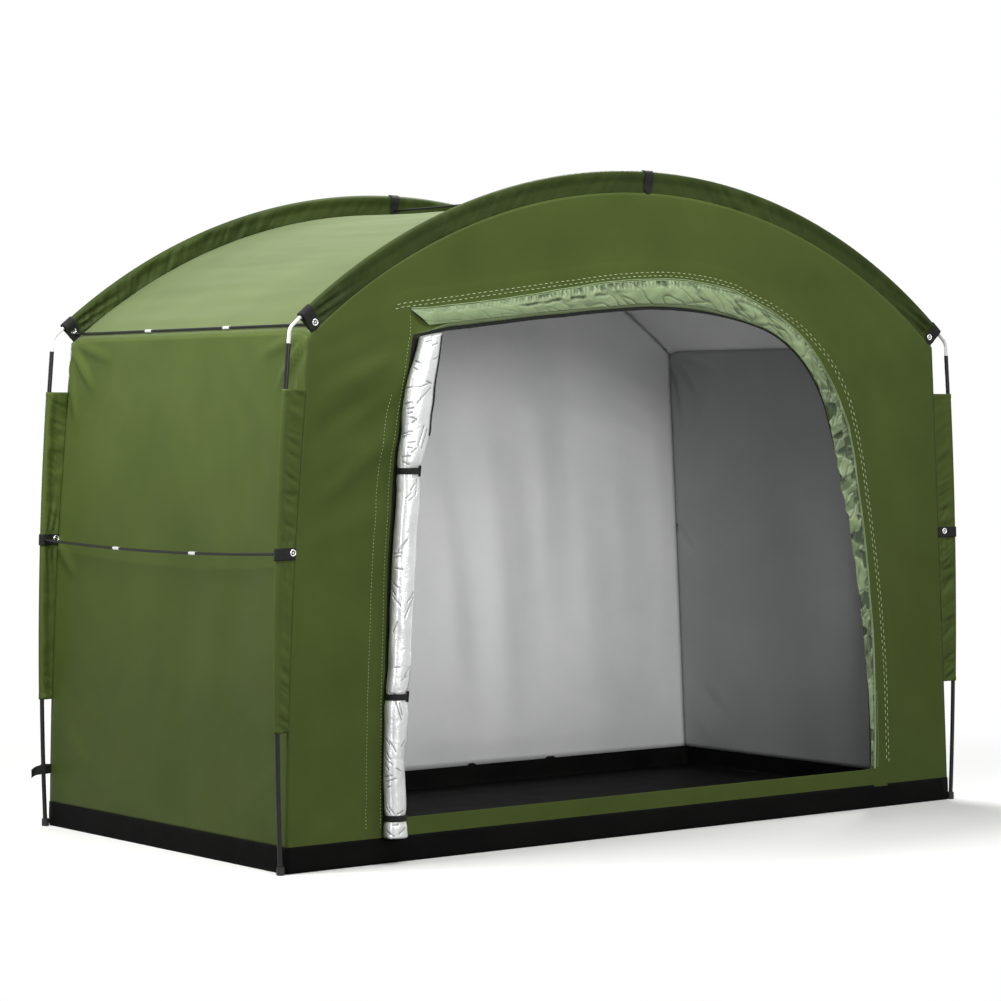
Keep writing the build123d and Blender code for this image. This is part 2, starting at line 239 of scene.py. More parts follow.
# The turned edge of the doorway: the same cloth rolled over the zip, its paler, greyer base colour painted light
# along the rolled edge
hemCloth = wovenCloth("olive_coated_polyester_rolled_hem", {
    "surface": {"Specular IOR Level": 0.3, "IOR": 1.45},
    "dark": "#5d6b47", "light": "#6c7a55", "patchMm": 60, "rough": (0.36, 0.46),
    "weaveMm": 4.0, "weaveBump": 0.10, "crumpleMm": 20, "crumpleBump": 0.2,
})
# Silver-backed inside of the cloth: pale grey with a dull metallic shine
silverLining = wovenCloth("silver_coated_cloth_back", {
    "surface": {"Metallic": 0.25, "Specular IOR Level": 0.4, "IOR": 1.45},
    "dark": "#dcdddd", "light": "#e8e9e8", "patchMm": 320, "rough": (0.45, 0.55),
    "weaveMm": 5.0, "weaveBump": 0.08, "crumpleMm": 90, "crumpleBump": 0.12,
})
# The back of the side walls: the same coating, its darker grey painted shade for the shaded inside of the walls
sideLining = wovenCloth("silver_coated_cloth_back_painted_shade", {
    "surface": {"Metallic": 0.15, "Specular IOR Level": 0.3, "IOR": 1.45},
    "dark": "#9fa0a1", "light": "#acadad", "patchMm": 320, "rough": (0.5, 0.6),
    "weaveMm": 5.0, "weaveBump": 0.08, "crumpleMm": 90, "crumpleBump": 0.12,
})
# The silver back on the outside of the rolled door: brighter, with sharp little crumples, and painted shade in
# the colour of its creases
silverRoll = wovenCloth("silver_coated_cloth_crumpled", {
    "surface": {"Metallic": 0.35, "Specular IOR Level": 0.5, "IOR": 1.45},
    "dark": "#dadcdc", "light": "#ecedec", "hollowAndPaintedShade": "#5f6163", "patchMm": 70, "rough": (0.28, 0.40),
    "weaveMm": 4.0, "weaveBump": 0.05, "crumpleMm": 16, "crumpleBump": 0.55,
})
# Woven polyethylene groundsheet: flat black tapes under a thin waxy film
groundsheet = wovenCloth("black_woven_polyethylene_sheet", {
    "surface": {"Specular IOR Level": 0.03, "IOR": 1.5},
    "dark": "#0c0c0c", "light": "#141413", "patchMm": 180, "rough": (0.55, 0.7),
    "weaveMm": 6.0, "weaveBump": 0.25, "crumpleMm": 40, "crumpleBump": 0.3,
})


def webbingMaterial():
    # Woven polypropylene webbing: matt black with ribs along its length
    material, tree, surface = startMaterial("black_woven_polypropylene_webbing",
                                            {"Roughness": 0.62, "Specular IOR Level": 0.18})
    cut = addNode(tree, "UVMap", {"uv_map": "cut"})
    ribs = addNode(tree, "TexWave", {"bands_direction": "Y", "Scale": bandScale(3.0), "Distortion": 0.4},
                   {"Vector": cut.outputs["UV"]})
    picks = addNode(tree, "TexWave", {"bands_direction": "X", "Scale": bandScale(4.0), "Distortion": 0.4},
                    {"Vector": cut.outputs["UV"]})
    crossed = addNode(tree, "Math", {"operation": "ADD"}, {0: ribs.outputs["Fac"], 1: picks.outputs["Fac"]})
    bump = addNode(tree, "Bump", {"Strength": 0.5, "Distance": 0.0006}, {"Height": crossed.outputs["Value"]})
    tone = shadeBetween(tree, ribs.outputs["Fac"], "#0e0f0e", "#1f211f", 0.0, 1.0)
    tree.links.new(tone, surface.inputs["Base Color"])
    tree.links.new(bump.outputs["Normal"], surface.inputs["Normal"])
    return material


def grainedMaterial(name, look):
    # Hard pieces: one base colour broken by a fine grain, stretched where the making drew it out
    material, tree, surface = startMaterial(name, look["surface"])
    space = addNode(tree, "TexCoord")
    stretch = addNode(tree, "Mapping", {"Scale": look["stretch"]}, {"Vector": space.outputs["Object"]})
    grain = addNode(tree, "TexNoise", {"Scale": grainScale(look["grainMm"]), "Detail": 3.0},
                    {"Vector": stretch.outputs["Vector"]})
    tone = shadeBetween(tree, grain.outputs["Fac"], look["dark"], look["light"])
    tree.links.new(tone, surface.inputs["Base Color"])
    rough = addNode(tree, "MapRange", {"To Min": look["rough"][0], "To Max": look["rough"][1]},
                    {"Value": grain.outputs["Fac"]})
    tree.links.new(rough.outputs["Result"], surface.inputs["Roughness"])
    bump = addNode(tree, "Bump", {"Strength": look["bump"], "Distance": 0.0003},
                   {"Height": grain.outputs["Fac"]})
    tree.links.new(bump.outputs["Normal"], surface.inputs["Normal"])
    return material


blackWebbing = webbingMaterial()
even = (1.0, 1.0, 1.0)
# Powder coat on steel tube: black, with a faint orange-peel ripple
blackTube = grainedMaterial("black_powder_coated_steel", {
    "surface": {"Specular IOR Level": 0.25}, "stretch": even, "grainMm": 3,
    "dark": "#0f1010", "light": "#191b1a", "rough": (0.30, 0.42), "bump": 0.25})
# White powder coat on the bent elbows, with a fine grain in its gloss
whiteElbow = grainedMaterial("white_powder_coated_steel", {
    "surface": {"Specular IOR Level": 0.5}, "stretch": even, "grainMm": 4,
    "dark": "#e2e3df", "light": "#f0f1ee", "rough": (0.28, 0.40), "bump": 0.2})
# Moulded polyethylene foot caps: black, fine moulded skin
blackCap = grainedMaterial("black_moulded_polyethylene", {
    "surface": {"Specular IOR Level": 0.4}, "stretch": even, "grainMm": 1.5,
    "dark": "#121212", "light": "#1c1c1b", "rough": (0.5, 0.65), "bump": 0.3})
# Pultruded glass fibre rod: black, with streaks drawn out along it
blackRod = grainedMaterial("black_pultruded_glass_fibre", {
    "surface": {"Specular IOR Level": 0.2}, "stretch": (1.0, 0.02, 1.0), "grainMm": 2,
    "dark": "#0c0d0c", "light": "#181a17", "rough": (0.35, 0.5), "bump": 0.25})
# Drawn aluminium ferrules: bright, with draw lines along the rod
drawnFerrule = grainedMaterial("drawn_aluminium", {
    "surface": {"Metallic": 0.7}, "stretch": (1.0, 0.03, 1.0), "grainMm": 1.5,
    "dark": "#dadcda", "light": "#eef0ee", "rough": (0.25, 0.38), "bump": 0.2})
# Nickel-plated snap caps: polished, with faint handling haze
nickelStud = grainedMaterial("nickel_plated_brass", {
    "surface": {"Metallic": 1.0}, "stretch": even, "grainMm": 2,
    "dark": "#e0e0dd", "light": "#f2f2f0", "rough": (0.08, 0.18), "bump": 0.05})
# Polyester sewing thread, paler than the cloth and a little shiny
paleThread = grainedMaterial("pale_green_polyester_thread", {
    "surface": {"Sheen Weight": 0.3}, "stretch": even, "grainMm": 1.0,
    "dark": "#b1bf8e", "light": "#c6d2a8", "rough": (0.45, 0.6), "bump": 0.3})
# Zip teeth: moulded acetal, pale green-grey
zipTooth = grainedMaterial("pale_moulded_acetal", {
    "surface": {"Specular IOR Level": 0.5}, "stretch": even, "grainMm": 1.0,
    "dark": "#b3bf9f", "light": "#c6d0b3", "rough": (0.3, 0.4), "bump": 0.1})
print("materials made:", len(bpy.data.materials))


# Pieces
def makePiece(name, bm, materials):
    mesh = bpy.data.meshes.new(name)
    bm.to_mesh(mesh)
    bm.free()
    for polygon in mesh.polygons:
        polygon.use_smooth = True
    for material in materials:
        mesh.materials.append(material)
    piece = bpy.data.objects.new(name, mesh)
    scene.collection.objects.link(piece)
    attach(piece, "root")
    return piece


def setCut(bm, flats):
    layer = bm.loops.layers.uv.new("cut")  # the flat cut in metres, so a weave keeps its size
    for face in bm.faces:
        for loop in face.loops:
            loop[layer].uv = flats[loop.vert.index]


def setPaintedShade(bm, paintedShades):
    layer = bm.verts.layers.float.new("hollowAndPaintedShade")  # how deep in a fold each point lies, for the shade painted into the colour
    for vert, paintedShadeAmount in zip(bm.verts, paintedShades):
        vert[layer] = min(1.0, max(0.0, paintedShadeAmount))


def faceTowards(bm, outward):
    bm.normal_update()
    if sum(face.normal.dot(outward) * face.calc_area() for face in bm.faces) < 0:
        bmesh.ops.reverse_faces(bm, faces=bm.faces[:])


def gridCloth(segments, shape, outward):
    # A grid from -1 to 1 each way, laid on the shape and kept with its flat cut
    bm = bmesh.new()
    bmesh.ops.create_grid(bm, x_segments=segments[0], y_segments=segments[1], size=1.0)
    bm.verts.index_update()
    flats = []
    for vert in bm.verts:
        place, flat = shape(vert.co.x, vert.co.y)
        vert.co = place
        flats.append(flat)
    setCut(bm, flats)
    if outward is not None:
        faceTowards(bm, outward)
    return bm


def closedGrid(segments, shape):
    bm = gridCloth(segments, shape, None)
    bmesh.ops.remove_doubles(bm, verts=bm.verts[:], dist=1e-6)
    bmesh.ops.recalc_face_normals(bm, faces=bm.faces[:])
    return bm


def joinMeshes(parts):
    joined = bmesh.new()
    for bm in parts:
        part = bpy.data.meshes.new("joinPart")
        bm.to_mesh(part)
        bm.free()
        joined.from_mesh(part)
        bpy.data.meshes.remove(part)
    return joined


def joinGrids(grids, outward):
    return joinMeshes([gridCloth(segments, shape, outward) for segments, shape in grids])


def extrudeRim(bm, rim):
    geom = bmesh.ops.extrude_edge_only(bm, edges=rim)["geom"]
    edges = [item for item in geom if isinstance(item, bmesh.types.BMEdge)]
    verts = [item for item in geom if isinstance(item, bmesh.types.BMVert)]
    return edges, verts


def thicken(piece, thick):
    layer = piece.modifiers.new("thickness", "SOLIDIFY")
    layer.thickness = thick
    layer.offset = -1.0
    layer.material_offset = 1  # the inside takes the second material
    return layer


# Roof: one sheet pulled between the two hoops, its eaves drawn up between the corners
eaveRise = 0.010
roof = {
    "segments": (180, 70), "sag": 0.011, "thick": 0.0012,
    "folds": [  # a is along the arch from the ridge, b from front to rear
        makeFold((-0.55, 0.0), 84, 0.75, 0.050, 0.0034, 0.42, 3.1),
        makeFold((-0.95, 0.1), 92, 0.60, 0.040, 0.0026, 0.35, 8.4),
        makeFold((0.55, 0.0), 96, 0.75, 0.055, 0.0034, 0.45, 5.7),
        makeFold((0.0, 0.0), 88, 0.90, 0.110, 0.0050, 0.80, 1.2),
    ],
}


def roofShape(u, v):
    angle = u * roofAngle
    arc, y = angle * roofRadius, v * (wallFace - 0.0005)
    hold = smoothStep(1 - abs(v), 0.0, 0.12) * smoothStep(1 - abs(u), 0.0, 0.05)
    drop = roof["sag"] * (1 - v * v) * (0.5 + 0.5 * math.cos(1.6 * angle))
    radius = roofRadius - drop * smoothStep(1 - abs(u), 0.0, 0.35) + hold * foldHeight(arc, y, roof["folds"])
    rise = eaveRise * smoothStep(1 - abs(v), 0.0, 0.08) * smoothStep(abs(u), 0.8, 1.0)
    return Vector((radius * math.sin(angle), y, radius * math.cos(angle) + rise)), (arc, y)


roofPiece = makePiece("roofCanopy", gridCloth(roof["segments"], roofShape, Vector((0, 0, 1))),
                      [roofCloth, silverLining])
thicken(roofPiece, roof["thick"])
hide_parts("roof_canopy")
print("roof made")

# Side walls, one each side, drawn in a little between the hoops
sideWall = {
    "segments": (96, 110), "inset": 0.010, "thick": 0.0012,
    "folds": [  # a is from front to rear, b is the height
        makeFold((0.0, 0.75), 92, 0.90, 0.150, 0.0050, 0.75, 2.3),
        makeFold((-0.45, 1.15), 58, 0.30, 0.050, 0.0040, 0.20, 6.1),
        makeFold((0.45, 1.15), 122, 0.30, 0.050, 0.0040, 0.20, 9.8),
        makeFold((0.46, 0.22), 40, 0.30, 0.060, 0.0050, 0.22, 4.4),
        makeFold((-0.46, 0.18), 140, 0.30, 0.060, 0.0040, 0.20, 7.7),
    ],
    "creases": [  # pulls that fan out from a top corner
        makeCrease((-0.590, 1.345), (-0.435, 1.195), 0.012, 0.0120),
        makeCrease((-0.585, 1.350), (-0.520, 1.110), 0.010, 0.0105),
        makeCrease((-0.590, 1.335), (-0.350, 1.275), 0.011, 0.0075),
        makeCrease((-0.590, 0.800), (-0.480, 0.690), 0.014, 0.0050),
    ],
}


def sideShape(side):
    def shape(u, v):
        y = u * (wallFace - 0.0005)
        w = (v + 1) / 2
        z = tubHeight - 0.006 + w * (eaveHeight - tubHeight + 0.006)
        hold = smoothStep(1 - abs(u), 0.0, 0.10) * smoothStep(1 - abs(v), 0.0, 0.06)
        inward = (sideWall["inset"] + cornerBow[side]) * (1 - u * u) * math.sin(math.pi * w)
        out = wallX(z, side) - inward + hold * foldHeight(y, z, sideWall["folds"])
        pulls = creaseHeight(y, z, sideWall["creases"]) + creaseHeight(-y, z, sideWall["creases"])
        out += pulls * smoothStep(1 - abs(u), 0.0, 0.03) * smoothStep(1 - abs(v), 0.0, 0.02)
        rise = eaveRise * smoothStep(1 - abs(u), 0.0, 0.08) * smoothStep(w, 0.85, 1.0)
        return Vector((side * out, y, z + rise)), (y, z)
    return shape


sides = (("left", -1), ("right", 1))
for sideName, side in sides:
    wallCloth = gridCloth(sideWall["segments"], sideShape(side), Vector((side, 0, 0)))
    wallPiece = makePiece(sideName + "Wall", wallCloth, [greenCloth, sideLining])
    thicken(wallPiece, sideWall["thick"])
    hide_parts(sideName + "_wall")
print("side walls made")

# Doorway outline: arcs that run on from one another, from the top left corner round to the right foot
door = {
    "sill": 0.112, "leftFoot": -0.873, "crown": (0.048, 1.425),
    "arcs": [(3.880, -12.36, 0.0), (1.440, 0.0, 14.5), (0.390, 14.5, 70.0), (2.985, 70.0, 90.0)],
    # Distances out from the curved edge, along it: turned edge, flap foot, flap head and lower stitch row
    "edge": [(0.0, 0.003), (0.10, 0.001), (0.18, -0.005), (0.29, -0.009), (0.50, -0.011), (0.65, -0.006),
             (0.80, 0.0)],
    "foot": [(0.0, 0.020), (0.06, 0.015), (0.14, 0.008), (0.24, 0.003), (0.34, -0.001), (0.50, -0.002),
             (0.65, 0.001), (0.75, 0.007), (0.94, 0.010), (1.08, 0.007), (1.17, 0.001), (1.50, 0.0),
             (1.63, -0.006), (1.75, -0.014), (1.95, -0.013), (2.15, -0.012), (2.34, -0.007),
             (2.50, -0.002), (2.62, 0.0)],
    "head": [(0.0, 0.064), (0.06, 0.055), (0.19, 0.045), (0.29, 0.042), (0.40, 0.044), (0.54, 0.053),
             (0.66, 0.063), (0.76, 0.068), (0.90, 0.073), (1.09, 0.071), (1.19, 0.056), (1.28, 0.047),
             (1.48, 0.045), (1.57, 0.056), (1.64, 0.064), (1.72, 0.060), (1.80, 0.051), (1.96, 0.041),
             (2.12, 0.030), (2.25, 0.026), (2.40, 0.018), (2.62, 0.012)],
    "rows": [(-0.02, 0.076), (0.06, 0.069), (0.16, 0.063), (0.30, 0.060), (0.40, 0.061), (0.54, 0.066),
             (0.66, 0.075), (0.76, 0.081), (0.86, 0.085), (1.00, 0.086), (1.10, 0.083), (1.19, 0.070),
             (1.30, 0.063), (1.40, 0.071), (1.48, 0.082), (1.57, 0.093), (1.68, 0.095), (1.77, 0.090),
             (1.87, 0.081), (1.98, 0.077), (2.24, 0.069), (2.50, 0.064), (2.62, 0.065)],
    "rowStep": 0.0095,
    "jamb": [(0.08, -0.883), (0.414, -0.880), (0.767, -0.868), (1.047, -0.845), (1.183, -0.816),
             (1.34, -0.788)],
}


def joinArcs():
    joined = []
    lastRadius = door["arcs"][0][0]
    centre = Vector((door["crown"][0], door["crown"][1] - lastRadius))
    for radius, start, stop in door["arcs"]:
        begin, end = math.radians(start), math.radians(stop)
        centre = centre + (lastRadius - radius) * Vector((math.sin(begin), math.cos(begin)))
        joined.append((centre, radius, begin, end))
        lastRadius = radius
    return joined


doorArcs = joinArcs()
doorLength = sum(radius * (end - begin) for centre, radius, begin, end in doorArcs)


def doorPoint(place, grow=0.0):
    # A point this far along the curved edge, and which way is out of the opening there
    for number, (centre, radius, begin, end) in enumerate(doorArcs):
        length = radius * (end - begin)
        if place <= length or number == len(doorArcs) - 1:
            angle = begin + place / radius
            out = Vector((math.sin(angle), math.cos(angle)))
            return centre + (radius + grow) * out, out
        place -= length


doorTop = doorPoint(0.0)[0]
doorFoot = Vector((door["leftFoot"], door["sill"]))
doorRight = Vector((doorPoint(doorLength)[0].x, door["sill"]))
doorOutline = [doorPoint(doorLength * i / 300)[0] for i in range(301)]
doorOutline += [doorRight.lerp(doorFoot, i / 120) for i in range(1, 121)]
doorOutline += [doorFoot.lerp(doorTop, i / 100) for i in range(1, 100)]
wallFoot = tubHeight - 0.006
wallCorners = [Vector((-wallX(wallFoot, -1), wallFoot)), Vector((wallX(wallFoot, 1), wallFoot)),
               Vector((eaveHalf, eaveHeight)), Vector((-eaveHalf, eaveHeight))]


def endOutline():
    points = [wallCorners[0].lerp(wallCorners[1], i / 120) for i in range(120)]
    heights = [wallFoot + (eaveHeight - wallFoot) * i / 80 for i in range(81)]
    points += [Vector((wallX(z, 1), z)) for z in heights[:-1]]
    for i in range(161):
        angle = roofAngle * (1 - i / 80)
        points.append(Vector((math.sin(angle), math.cos(angle))) * roofRadius)
    points += [Vector((-wallX(z, -1), z)) for z in heights[-2:0:-1]]
    return points


def treeOf(points):
    tree = kdtree.KDTree(len(points))
    for number, point in enumerate(points):
        tree.insert((point.x, 0, point.y), number)
    tree.balance()
    return tree


wallOutline = endOutline()
doorTree, wallTree = treeOf(doorOutline), treeOf(wallOutline)

# Front wall: a ring of cloth between the doorway and the roof, side and floor seams
frontWall = {
    "around": 420, "rings": 36, "middle": (0.0, 0.74), "thick": 0.0012, "belly": 0.006,
    "facing": 0.034, "facingLift": 0.0012,  # a doubled strip round the doorway, past the lower stitch row
    "folds": [  # a is along the front, b is the height
        makeFold((-0.96, 1.16), 18, 0.45, 0.075, 0.0130, 0.24, 2.9),
        makeFold((-1.00, 0.98), 27, 0.45, 0.085, 0.0110, 0.22, 7.2),
        makeFold((-1.00, 0.55), 86, 0.80, 0.090, 0.0035, 0.50, 1.4),
        makeFold((0.98, 0.80), 92, 0.90, 0.110, 0.0040, 0.60, 4.8),
        makeFold((0.85, 1.25), -42, 0.45, 0.070, 0.0045, 0.30, 5.5),
        makeFold((0.0, 1.60), 2, 0.70, 0.090, 0.0030, 0.70, 8.8),
        makeFold((-0.92, 0.16), 38, 0.25, 0.050, 0.0045, 0.14, 3.6),
    ],
    "creases": [
        makeCrease((-1.075, 1.195), (-0.815, 1.300), 0.022, 0.0080),
        makeCrease((-1.095, 1.060), (-0.825, 1.205), 0.026, 0.0090),
        makeCrease((-1.090, 0.930), (-0.840, 1.090), 0.026, 0.0080),
    ],
}


def frontLift(x, z):
    # How far the cloth stands out from the flat of the front wall
    number, doorGap = doorTree.find((x, 0, z))[1:]
    edgeGap = wallTree.find((x, 0, z))[2]
    hold = smoothStep(edgeGap, 0.0, 0.06) * smoothStep(doorGap, 0.0, 0.07)
    swell = foldHeight(x, z, frontWall["folds"]) + creaseHeight(x, z, frontWall["creases"])
    lift = hold * swell - frontWall["belly"] * smoothStep(edgeGap, 0.0, 0.2) * smoothStep(doorGap, 0.0, 0.15)
    if number <= 300:
        wide = readTable(door["rows"], doorLength * number / 300) + frontWall["facing"]
        lift += frontWall["facingLift"] * (1 - smoothStep(doorGap, wide, wide + 0.004))
    return lift


def cross(p, q):
    return p.x * q.y - p.y * q.x


def outlineReach(outline, middle, heading):
    for p, q in zip(outline, outline[1:] + outline[:1]):
        edge = q - p
        slant = cross(heading, edge)
        if abs(slant) < 1e-12:
            continue
        reach, part = cross(p - middle, edge) / slant, cross(p - middle, heading) / slant
        if reach > 0 and -1e-9 <= part <= 1 + 1e-9:
            return middle + heading * reach


def buildFrontWall():
    middle = Vector(frontWall["middle"])
    count = frontWall["around"]
    angles = [2 * math.pi * i / count for i in range(count)]
    for corner in [doorTop, doorFoot, doorRight, *wallCorners]:  # a spoke runs exactly through each corner
        angle = math.atan2(corner.y - middle.y, corner.x - middle.x) % (2 * math.pi)
        angles[round(angle / (2 * math.pi) * count) % count] = angle
    bm = bmesh.new()
    for outline in (doorOutline, wallOutline):
        ring = bmesh.ops.create_circle(bm, segments=count, radius=1.0)["verts"]
        for vert, angle in zip(ring, angles):
            hit = outlineReach(outline, middle, Vector((math.cos(angle), math.sin(angle))))
            vert.co = (hit.x, 0, hit.y)
    spokes = bmesh.ops.bridge_loops(bm, edges=bm.edges[:])["edges"]
    bmesh.ops.subdivide_edges(bm, edges=spokes, cuts=frontWall["rings"], use_grid_fill=True)
    bm.verts.index_update()
    flats = []
    for vert in bm.verts:
        x, z = vert.co.x, vert.co.z
        flats.append((x, z))
        vert.co.y = -(wallFace + frontLift(x, z))
    setCut(bm, flats)
    faceTowards(bm, Vector((0, -1, 0)))
    return bm


frontPiece = makePiece("frontWall", buildFrontWall(), [greenCloth, silverLining])
thicken(frontPiece, frontWall["thick"])
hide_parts("front_wall")
print("front wall made")

# Rear wall: plain, with the slack that shows as soft upright folds on its silver side
rearWall = {
    "segments": (150, 96), "thick": 0.0012,
    "folds": [
        makeFold((-0.2, 0.8), 84, 1.10, 0.190, 0.0160, 0.85, 6.6),
        makeFold((0.45, 0.8), 97, 0.90, 0.130, 0.0100, 0.60, 2.2),
        makeFold((-0.95, 1.15), 24, 0.40, 0.060, 0.0050, 0.25, 9.1),
        makeFold((0.95, 1.15), 156, 0.40, 0.060, 0.0050, 0.25, 4.3),
    ],
}


def rearShape(u, v):
    top = math.sqrt(roofRadius ** 2 - (u * eaveHalf) ** 2)
    z = wallFoot + (v + 1) / 2 * (top - wallFoot)
    x = u * wallX(min(z, eaveHeight), 1 if u > 0 else -1)
    hold = smoothStep(wallTree.find((x, 0, z))[2], 0.0, 0.09)
    return Vector((x, wallFace - 0.004 * hold + hold * foldHeight(x, z, rearWall["folds"]), z)), (x, z)


rearPiece = makePiece("rearWall", gridCloth(rearWall["segments"], rearShape, Vector((0, 1, 0))),
                      [greenCloth, silverLining])
thicken(rearPiece, rearWall["thick"])
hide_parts("rear_wall")
print("rear wall made")

# Groundsheet: a floor whose edge is turned up into a low band all round
tub = {
    "segments": (120, 60), "steps": 8, "thick": 0.0014, "proud": 0.0012,
    "floorFolds": [
        makeFold((0.0, 0.0), 12, 0.5, 0.12, 0.006, 1.4, 3.3),
        makeFold((0.3, 0.1), 78, 0.4, 0.09, 0.004, 1.0, 6.9),
    ],
}


def buildTub():
    bm = bmesh.new()
    bmesh.ops.create_grid(bm, x_segments=tub["segments"][0], y_segments=tub["segments"][1], size=1.0)
    for vert in bm.verts:
        x, y = vert.co.x * floorHalf, vert.co.y * wallFace
        inset = min(floorHalf - abs(x), wallFace - abs(y))
        rise = abs(foldHeight(x, y, tub["floorFolds"])) * smoothStep(inset, 0.0, 0.1)
        vert.co = (x, y, rise + 0.0001)
    rim = [edge for edge in bm.edges if edge.is_boundary]
    for step in range(tub["steps"]):
        rim, raised = extrudeRim(bm, rim)
        z = tubHeight * (step + 1) / tub["steps"]
        for vert in raised:
            side = 1 if vert.co.x > 0 else -1
            reach = wallX(z, side)
            atSide = abs(abs(vert.co.x) - wallX(vert.co.z, side)) < 0.006
            x = side * (reach + tub["proud"]) if atSide else vert.co.x * reach / floorHalf
            atEnd = abs(vert.co.y) > wallFace - 0.006
            ripple = 0.0022 * noiseAt(vert.co.x * 9, vert.co.y * 9, z * 14)
            y = math.copysign(wallFace + tub["proud"] + ripple, vert.co.y) if atEnd else vert.co.y
            vert.co = (x + (math.copysign(ripple, x) if atSide else 0.0), y, z)
    bm.verts.index_update()
    setCut(bm, [(vert.co.x + vert.co.z, vert.co.y + vert.co.z) for vert in bm.verts])
    bm.normal_update()
    if sum(face.normal.z for face in bm.faces) > 0:
        bmesh.ops.reverse_faces(bm, faces=bm.faces[:])  # the underside is the outside of the tub
    return bm


tubPiece = makePiece("tubFloor", buildTub(), [groundsheet])
thicken(tubPiece, tub["thick"]).material_offset = 0
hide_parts("tub_floor")
print("tub floor made")


# Sleeves: a strip folded round the pole and sewn to the seam of the cloth
def sleeveSection(q, reach, pocket, half):
    # q from 0 to 1 goes up one face, round the pole pocket and down the other; gives reach, offset and slack
    face = 0.38
    if q < face or q > 1 - face:
        part = (q if q < face else 1 - q) / face
        sign = 1 if q < face else -1
        out = part * reach
        swell = half + (pocket - half) * smoothStep(out, reach - 2.9 * pocket, reach - 0.2 * pocket)
        return out, sign * swell, math.sin(math.pi * min(part, 1.0)) ** 0.7
    turn = (q - face) / (1 - 2 * face) * math.pi
    return reach + pocket * math.sin(turn), pocket * math.cos(turn), 0.0


strap = {"grow": 0.0016, "thick": 0.0014, "eaveWide": 0.036, "wide": 0.030, "tip": 0.015, "segments": (12, 60)}
sleeve = {
    "pocket": 0.0085, "half": 0.0022, "thick": 0.0010, "archSegments": (400, 40), "legSegments": (170, 40),
    "crumple": 0.0085, "pitch": 0.028, "run": 0.16, "pleat": 0.0085, "pleatRun": 0.065,
    "hem": 0.0012, "hemWide": 0.012,
}


def sleeveCrumple(length, out, sign, seed, turn):
    # Diagonal pulls that come and go along the sleeve
    along = length * math.cos(turn) + out * math.sin(turn)
    across = out * math.cos(turn) - length * math.sin(turn)
    busy = smoothStep(noiseAt(length * 3.1, seed, 0.5), -0.25, 0.35)
    both = noiseAt(along / sleeve["run"], across / sleeve["pitch"], seed)
    own = noiseAt(along / 0.07, across / 0.016, seed + 9.0 * sign)
    ridge = abs(noiseAt(along / 0.13, across / 0.024, seed + 4.0))
    both += 0.3 - min(0.7, 2.4 * ridge)  # crisp folds
    return sleeve["crumple"] * (0.25 + 0.75 * busy) * both + sign * 0.0016 * (0.2 + 0.8 * busy) * own


def archShape(end, limit, grow, seed, loose, tip=0.0):
    root = roofRadius - 0.001

    def shape(u, v):
        angle = u * limit[1] if limit[0] is None else limit[0] + (u + 1) / 2 * (limit[1] - limit[0])
        out, offset, slack = sleeveSection((v + 1) / 2, archRadius - root, sleeve["pocket"] + grow,
                                           sleeve["half"] + grow)
        length = angle * archRadius
        sign = 1 if offset > 0 else -1
        y = end * hoopY - end * offset
        if loose:
            clear = (archEnd - abs(angle)) * archRadius - strap["eaveWide"]  # pleats fan out from here
            gap = min(clear, abs(length) - strap["wide"] / 2)
            slack *= smoothStep(gap, 0.002, 0.022)  # held flat under each strap
            y += slack * sleeveCrumple(length, out, sign, seed, math.radians(58 if angle < 0 else 122))
            fan = 2 * math.pi * (2.3 * out / (archRadius - root) + 5.0 * clear)
            y += slack * sleeve["pleat"] * math.exp(-max(0.0, clear) / sleeve["pleatRun"]) * math.sin(fan + seed)
        elif out < tip:
            narrow = math.sqrt(1 - (1 - max(0.04, out / tip)) ** 2)  # the sewn end of a strap is rounded
            angle += (1 - narrow) * ((limit[0] + limit[1]) / 2 - angle)
        radius = root + out
        flat = (length, (v + 1) * archRadius * 0.03)
        return Vector((radius * math.sin(angle), y, radius * math.cos(angle))), flat
    return shape


def legShape(side, end, low, high, grow, seed, loose):
    def shape(u, v):
        z = low + (u + 1) / 2 * (high - low)
        root = wallX(z, side) - 0.001
        out, offset, slack = sleeveSection((v + 1) / 2, legX(z) - root, sleeve["pocket"] + grow,
                                           sleeve["half"] + grow)
        sign = 1 if offset > 0 else -1
        y = end * hoopY - end * offset
        if loose:
            clear = abs(z - midHeight) - strap["wide"] / 2
            slack *= smoothStep(clear, 0.002, 0.018)  # held flat under the strap
            y += slack * sleeveCrumple(z, out, sign, seed, math.radians(60))
            pull = math.exp(-max(0.0, clear) / 0.05)  # puckers round the strap
            y += slack * 0.004 * pull * math.sin(300 * out + 40 * abs(z - midHeight) + seed)
            turned = 1 - smoothStep(min(z - low, high - z), sleeve["hemWide"], sleeve["hemWide"] + 0.002)
            y -= end * sign * sleeve["hem"] * turned  # a turned and stitched hem at each end
        return Vector((side * (root + out), y, z)), (z, (v + 1) * 0.055)
    return shape


def closeSleeve(name, bm, finish, thick, inward):
    bm.normal_update()
    total = 0.0
    for face in bm.faces:
        total += face.normal.dot(face.calc_center_median() - inward(face.calc_center_median()))
    if total < 0:
        bmesh.ops.reverse_faces(bm, faces=bm.faces[:])
    piece = makePiece(name, bm, [finish, finish])
    thicken(piece, thick)
    return piece


def archMiddle(end):
    def middle(p):
        radius = archRadius - 0.008
        flat = Vector((p.x, 0, p.z)).normalized() * radius
        return Vector((flat.x, end * hoopY, flat.z))
    return middle


def legMiddle(side, end):
    def middle(p):
        return Vector((side * (legX(p.z) - 0.008), end * hoopY, p.z))
    return middle


